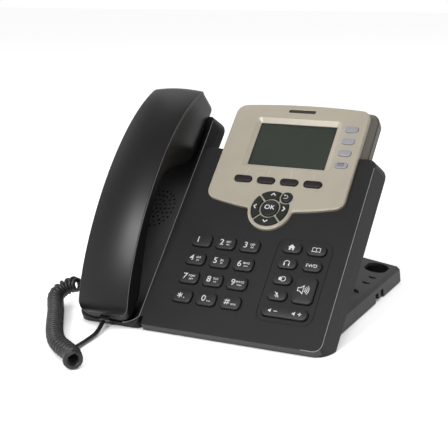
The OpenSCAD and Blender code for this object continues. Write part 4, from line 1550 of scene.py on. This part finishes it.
    def build(self) -> None:
        """Builds both shells, the openings of the front one, and the bead."""
        steps = [(1 - math.cos(math.pi * i / self.stations)) / 2 for i in range(self.stations + 1)]
        edge = [self.edge(t) for t in steps]
        for name, ring, node in (
            ("shell_back", self.back_ring, "handset_back_shell"),
            ("shell_front", self.front_ring, "handset_front_shell"),
        ):
            piece = mesh_piece(name, *loft([ring(v, n, self.shrink(v)) for v, n in edge]), sharp=50)
            if node == "handset_front_shell":
                self.pierce(piece)
            keep_piece(piece, HANDSET, Body.HANDSET.value, [node])
        # a pale bead along the long edge: a painted highlight line
        line = []
        for v, n in edge[3:-3]:
            x = self.middle + self.half(v) - self.shrink(v) - 0.16
            line.append(SLOPE.point(x, v, self.part(v, n) + self.shrink(v) * 0.5 + 1.95))
        keep_piece(strand_piece("crest_handset_highlight", line, HANDSET_EDGE_HIGHLIGHT, 0.28, 8), HANDSET_EDGE_HIGHLIGHT, Body.HANDSET.value)

    def pierce(self, shell: bpy.types.Object) -> None:
        """Cuts the sound holes and the cord's socket into the front shell.

        Args:
            shell: the front shell.
        """
        places = [(self.middle, self.ear_v, self.ear)]
        for count, r in self.hole_rings:
            for k in range(count):
                a = 2 * math.pi * k / count
                places.append((self.middle + r * math.cos(a), self.ear_v + r * math.sin(a), self.ear))
        places += [(self.middle + x, self.mic_v, self.mouth) for x in (-3, 0, 3)]
        studs = STUDS.run(
            point_object("holes", [SLOPE.point(*p) for p in places]), "holes", HANDSET.material(),
            Radius=self.hole_r * MM, Height=5 * MM, Sides=16, Lean=math.radians(SLOPE.tilt),
        )
        half_w, half_h, n = self.socket
        ends = [
            [
                (self.middle + sx * half_w, self.v0 + depth, n + sn * half_h)
                for sx, sn in ((-1, -1), (1, -1), (1, 1), (-1, 1))
            ]
            for depth in (-1, 12)
        ]
        cutters = (studs, mesh_piece("socket", *loft(ends)))
        for cutter in cutters:
            cut = shell.modifiers.new("cut", "BOOLEAN")
            cut.operation = "DIFFERENCE"
            cut.solver = "EXACT"
            cut.object = cutter
        depsgraph = bpy.context.evaluated_depsgraph_get()
        mesh = bpy.data.meshes.new_from_object(shell.evaluated_get(depsgraph))
        shell.modifiers.clear()
        shell.data = mesh
        smooth_by_angle(mesh, 50)
        for cutter in cutters:
            bpy.data.objects.remove(cutter)


# ---- cord ----
class HandsetCord:
    """The coiled cord and its two straight ends, with their routes in millimetres of the row frame.

    The coil grows to its full radius over its first turns and flares over its last ones.
    """

    diameter = 3.2
    turn_radius = 4.7
    pitch = 4.2
    per_turn = 16
    grown_turns = 0.75
    flare_turns = 1.5
    flare = 0.12
    jack = (-100.0, -60.62, 19.21)
    base_path = ((-106.0, -61.0, 18.8), (-110.0, -61.2, 18.2))
    coil_path = (
        (-112, -61.5, 17.5), (-120, -61, 15.5), (-126, -65, 12.5), (-126, -73.5, 9.6), (-120, -83, 7.4),
        (-112, -94, 6.6), (-104, -106, 6.6), (-96, -118, 6.6), (-87, -131, 6.6), (-77.5, -143, 6.6),
        (-68, -152, 6.6), (-58, -158.5, 6.6), (-49, -165, 6.8), (-42.5, -173.5, 7.0),
    )
    lead_path = (
        (-48, -168.5, 10), (-52.5, -162, 8.6), (-58.5, -151, 4.4), (-62, -139, 2.2), (-63, -127, 2),
        (-64, -115, 2.4), (-67, -104, 3.6),
    )
    plug_end = (-70.0, -95.84, 4.63)

    @staticmethod
    def curve(points: Sequence[Sequence[float]], per: int) -> list[Vector]:
        """A smooth line through points.

        Args:
            points: the route.
            per: steps between two of them.

        Returns:
            The line's points.
        """
        route = [Vector(p) for p in points]
        line = []
        for i in range(len(route) - 1):
            a, b, c, d = route[max(i - 1, 0)], route[i], route[i + 1], route[min(i + 2, len(route) - 1)]
            for k in range(per):
                t = k / per
                bend, twist = 2 * a - 5 * b + 4 * c - d, 3 * b - a - 3 * c + d
                line.append(0.5 * (2 * b + t * (c - a) + t * t * bend + t**3 * twist))
        line.append(route[-1])
        return line

    def coil(self) -> list[Vector]:
        """The strand's middle line, wound round the coil's route.

        Returns:
            Points in millimetres.
        """
        line = self.curve(self.coil_path, 24)
        spots = [0.0]
        for a, b in zip(line, line[1:]):
            spots.append(spots[-1] + (b - a).length)
        total = spots[-1]
        turns = total / self.pitch
        count = int(turns * self.per_turn)
        strand, j = [], 0
        for k in range(count + 1):
            s = total * k / count
            while j < len(spots) - 2 and spots[j + 1] < s:
                j += 1
            share = (s - spots[j]) / (spots[j + 1] - spots[j])
            here = line[j].lerp(line[j + 1], share)
            along = (line[min(j + 2, len(line) - 1)] - line[max(j - 1, 0)]).normalized()
            side = along.cross(Vector((0, 0, 1))).normalized()
            up = side.cross(along).normalized()
            a = 2 * math.pi * k / self.per_turn - math.pi / 2
            grow = min(1.0, k / (self.per_turn * self.grown_turns))
            grow = grow * grow * (3 - 2 * grow)
            near_end = min(1.0, max(0.0, 1.0 - (count - k) / (self.flare_turns * self.per_turn)))
            flare = 1.0 + self.flare * near_end
            strand.append(here + self.turn_radius * flare * grow * (math.cos(a) * side + math.sin(a) * up))
        return strand

    def build(self) -> None:
        """Builds the coil with its base end, and the lead to the handset."""
        strand = self.curve([self.jack, *self.base_path], 4)[:-1] + self.coil()
        coil = self.sweep("coil_cord", strand)
        self.declare(coil, strand, ["curly_cord", "base_lead"])
        # the lead takes its first point from the coil's last turn
        end = strand[-1]
        past_end = end + (end - strand[-2]) * 1.2
        lead = self.curve([end, past_end, *self.lead_path[1:], self.plug_end], 6)
        straight = self.sweep("mouth_lead", lead)
        self.declare(straight, lead, ["handset_lead"])

    def sweep(self, name: str, line: Sequence[Vector]) -> bpy.types.Object:
        """A round strand along a line in millimetres."""
        return strand_piece(name, [p * MM for p in line], CORD, self.diameter / 2, 12)

    def declare(
        self, piece: bpy.types.Object, line: Sequence[Vector], nodes: list[str]
    ) -> None:
        """Ties a stretch of cord to the base and states its facts.

        Args:
            piece: the strand.
            line: its middle line in millimetres.
            nodes: the CAD nodes that it stands for.
        """
        keep_piece(piece, CORD, Body.BASE.value, nodes)
        length = sum((b - a).length for a, b in zip(line, line[1:])) * MM
        log.info("%s: %.3f m", piece.name, length)


# ---- studio ----
@dataclass(frozen=True)
class Studio:
    """Camera, floor and soft light.

    Angles are in degrees apart from the roll, which is in radians; the focal length is in pixels of a picture
    frame_px wide; the camera's place is in millimetres, and the rest is in metres.
    """

    azimuth: float = 26.7155
    elevation: float = 14.1484
    roll: float = -0.01248
    focal: float = 1065.63
    frame_px: float = 448.0
    place: Point3 = (332.6, -701.48, 257.2)
    floor_half: float = 4.0
    floor_glow: float = 0.8
    shadow_reach: float = 0.045
    overhead: float = 0.32
    world_light: float = 0.38

    def build(self) -> None:
        """Builds the camera, the floor and the lamps."""
        self.camera()
        self.floor()
        self.world()
        self.lamp("key", (-0.22, -1.16, 0.99), 0.5, 12.5)
        self.lamp("left", (-1.3, 0.1, 0.8), 0.8, 1.6)
        self.lamp("back", (-0.5, 0.9, 1.5), 1.0, 3.0)
        self.lamp("right", (1.3, -0.2, 0.45), 0.7, 1.3)

    def camera(self) -> None:
        """Sets the camera at its measured place."""
        a, e = math.radians(self.azimuth), math.radians(self.elevation)
        look = Vector((-math.sin(a) * math.cos(e), math.cos(a) * math.cos(e), -math.sin(e)))
        right = Vector((math.cos(a), math.sin(a), 0))
        up = right.cross(look)
        c, s = math.cos(self.roll), math.sin(self.roll)
        right, up = c * right + s * up, -s * right + c * up
        data = bpy.data.cameras.new("camera")
        data.sensor_fit = "HORIZONTAL"
        data.sensor_width = 36.0
        data.lens = self.focal * data.sensor_width / self.frame_px
        data.clip_end = 20
        camera = link_object("camera", data)
        turn = Matrix((right, up, -look)).transposed().to_4x4()
        camera.matrix_world = Matrix.Translation(Vector(self.place) * MM) @ turn
        bpy.context.scene.camera = camera

    @staticmethod
    def seen(tree: bpy.types.NodeTree) -> bpy.types.NodeSocket:
        """A mask of rays that the eye follows: straight, mirrored or through a clear pane.

        Args:
            tree: the tree that gets the nodes.

        Returns:
            The mask's socket.
        """
        path = add_node(tree, "ShaderNodeLightPath")
        mask = path.outputs["Is Camera Ray"]
        for ray in ("Is Glossy Ray", "Is Transmission Ray"):
            mask = combine(tree, "MAXIMUM", mask, path.outputs[ray])
        return mask

    def floor(self) -> None:
        """A pale floor that keeps the object's shadow."""
        mesh = bpy.data.meshes.new("floor")
        s = self.floor_half
        mesh.from_pydata([(-s, -s, 0), (s, -s, 0), (s, s, 0), (-s, s, 0)], [], [(0, 1, 2, 3)])
        floor = link_object("floor", mesh)
        mat = new_material(
            "floor_pale", Base_Color=(0.86, 0.86, 0.86, 1), Roughness=0.9, Specular_IOR_Level=0.0,
            Emission_Color=(1, 1, 1, 1),
        )
        tree = mat.node_tree
        glow = combine(tree, "MULTIPLY", self.seen(tree), self.floor_glow)
        # the glow fades under and near the object by ambient occlusion: a painted shadow
        near = add_node(tree, "ShaderNodeAmbientOcclusion", samples=8, s_Distance=self.shadow_reach)
        open_sky = add_node(tree, "ShaderNodeMapRange", s_From_Min=0.15, s_From_Max=0.6)
        tree.links.new(near.outputs["AO"], open_sky.inputs["Value"])
        held = combine(tree, "MULTIPLY", glow, open_sky.outputs["Result"])
        tree.links.new(held, tree.nodes["Principled BSDF"].inputs["Emission Strength"])
        mesh.materials.append(mat)

    def world(self) -> None:
        """A pale backdrop all round that darkens overhead, brighter where it is seen than where it lights."""
        world = bpy.data.worlds.new("world")
        bpy.context.scene.world = world
        world.use_nodes = True
        tree = world.node_tree
        back = tree.nodes["Background"]
        back.inputs["Color"].default_value = (1, 1, 1, 1)
        where = add_node(tree, "ShaderNodeTexCoord")
        split = add_node(tree, "ShaderNodeSeparateXYZ")
        tree.links.new(where.outputs["Generated"], split.inputs[0])
        fall = add_node(
            tree, "ShaderNodeMapRange", interpolation_type="SMOOTHSTEP",
            s_From_Min=0.2, s_From_Max=0.75, s_To_Min=1.0, s_To_Max=self.overhead,
        )
        tree.links.new(split.outputs["Z"], fall.inputs["Value"])
        level = add_node(tree, "ShaderNodeMapRange", s_To_Min=self.world_light, s_To_Max=1.0)
        tree.links.new(self.seen(tree), level.inputs["Value"])
        strength = combine(tree, "MULTIPLY", fall.outputs["Result"], level.outputs["Result"])
        tree.links.new(strength, back.inputs["Strength"])

    def lamp(self, name: str, place: Point3, size: float, power: float) -> None:
        """A soft square lamp that faces the object.

        Args:
            name: the lamp's name.
            place: its middle in metres.
            size: its side in metres.
            power: its power in watts.
        """
        data = bpy.data.lights.new(name, "AREA")
        data.shape = "RECTANGLE"
        data.size, data.size_y = size, size
        data.energy = power
        lamp = link_object(name, data)
        aim = Vector((0, 0, 0.06)) - Vector(place)
        lamp.matrix_world = Matrix.Translation(place) @ aim.to_track_quat("-Z", "Y").to_matrix().to_4x4()


def main() -> None:
    """Builds the whole scene in order."""
    logging.basicConfig(level=logging.INFO, format="%(name)s: %(message)s")
    bpy.context.scene.view_settings.view_transform = "Standard"
    Studio().build()
    HandsetCord().build()
    dress_nodes()
    Handset().build()
    DialPad().build()
    FunctionPad().build()
    DisplayPod().build()
    FrontLip().build()
    PodSkirt().build()
    CrestHighlights().build()


if __name__ == "__main__":
    main()
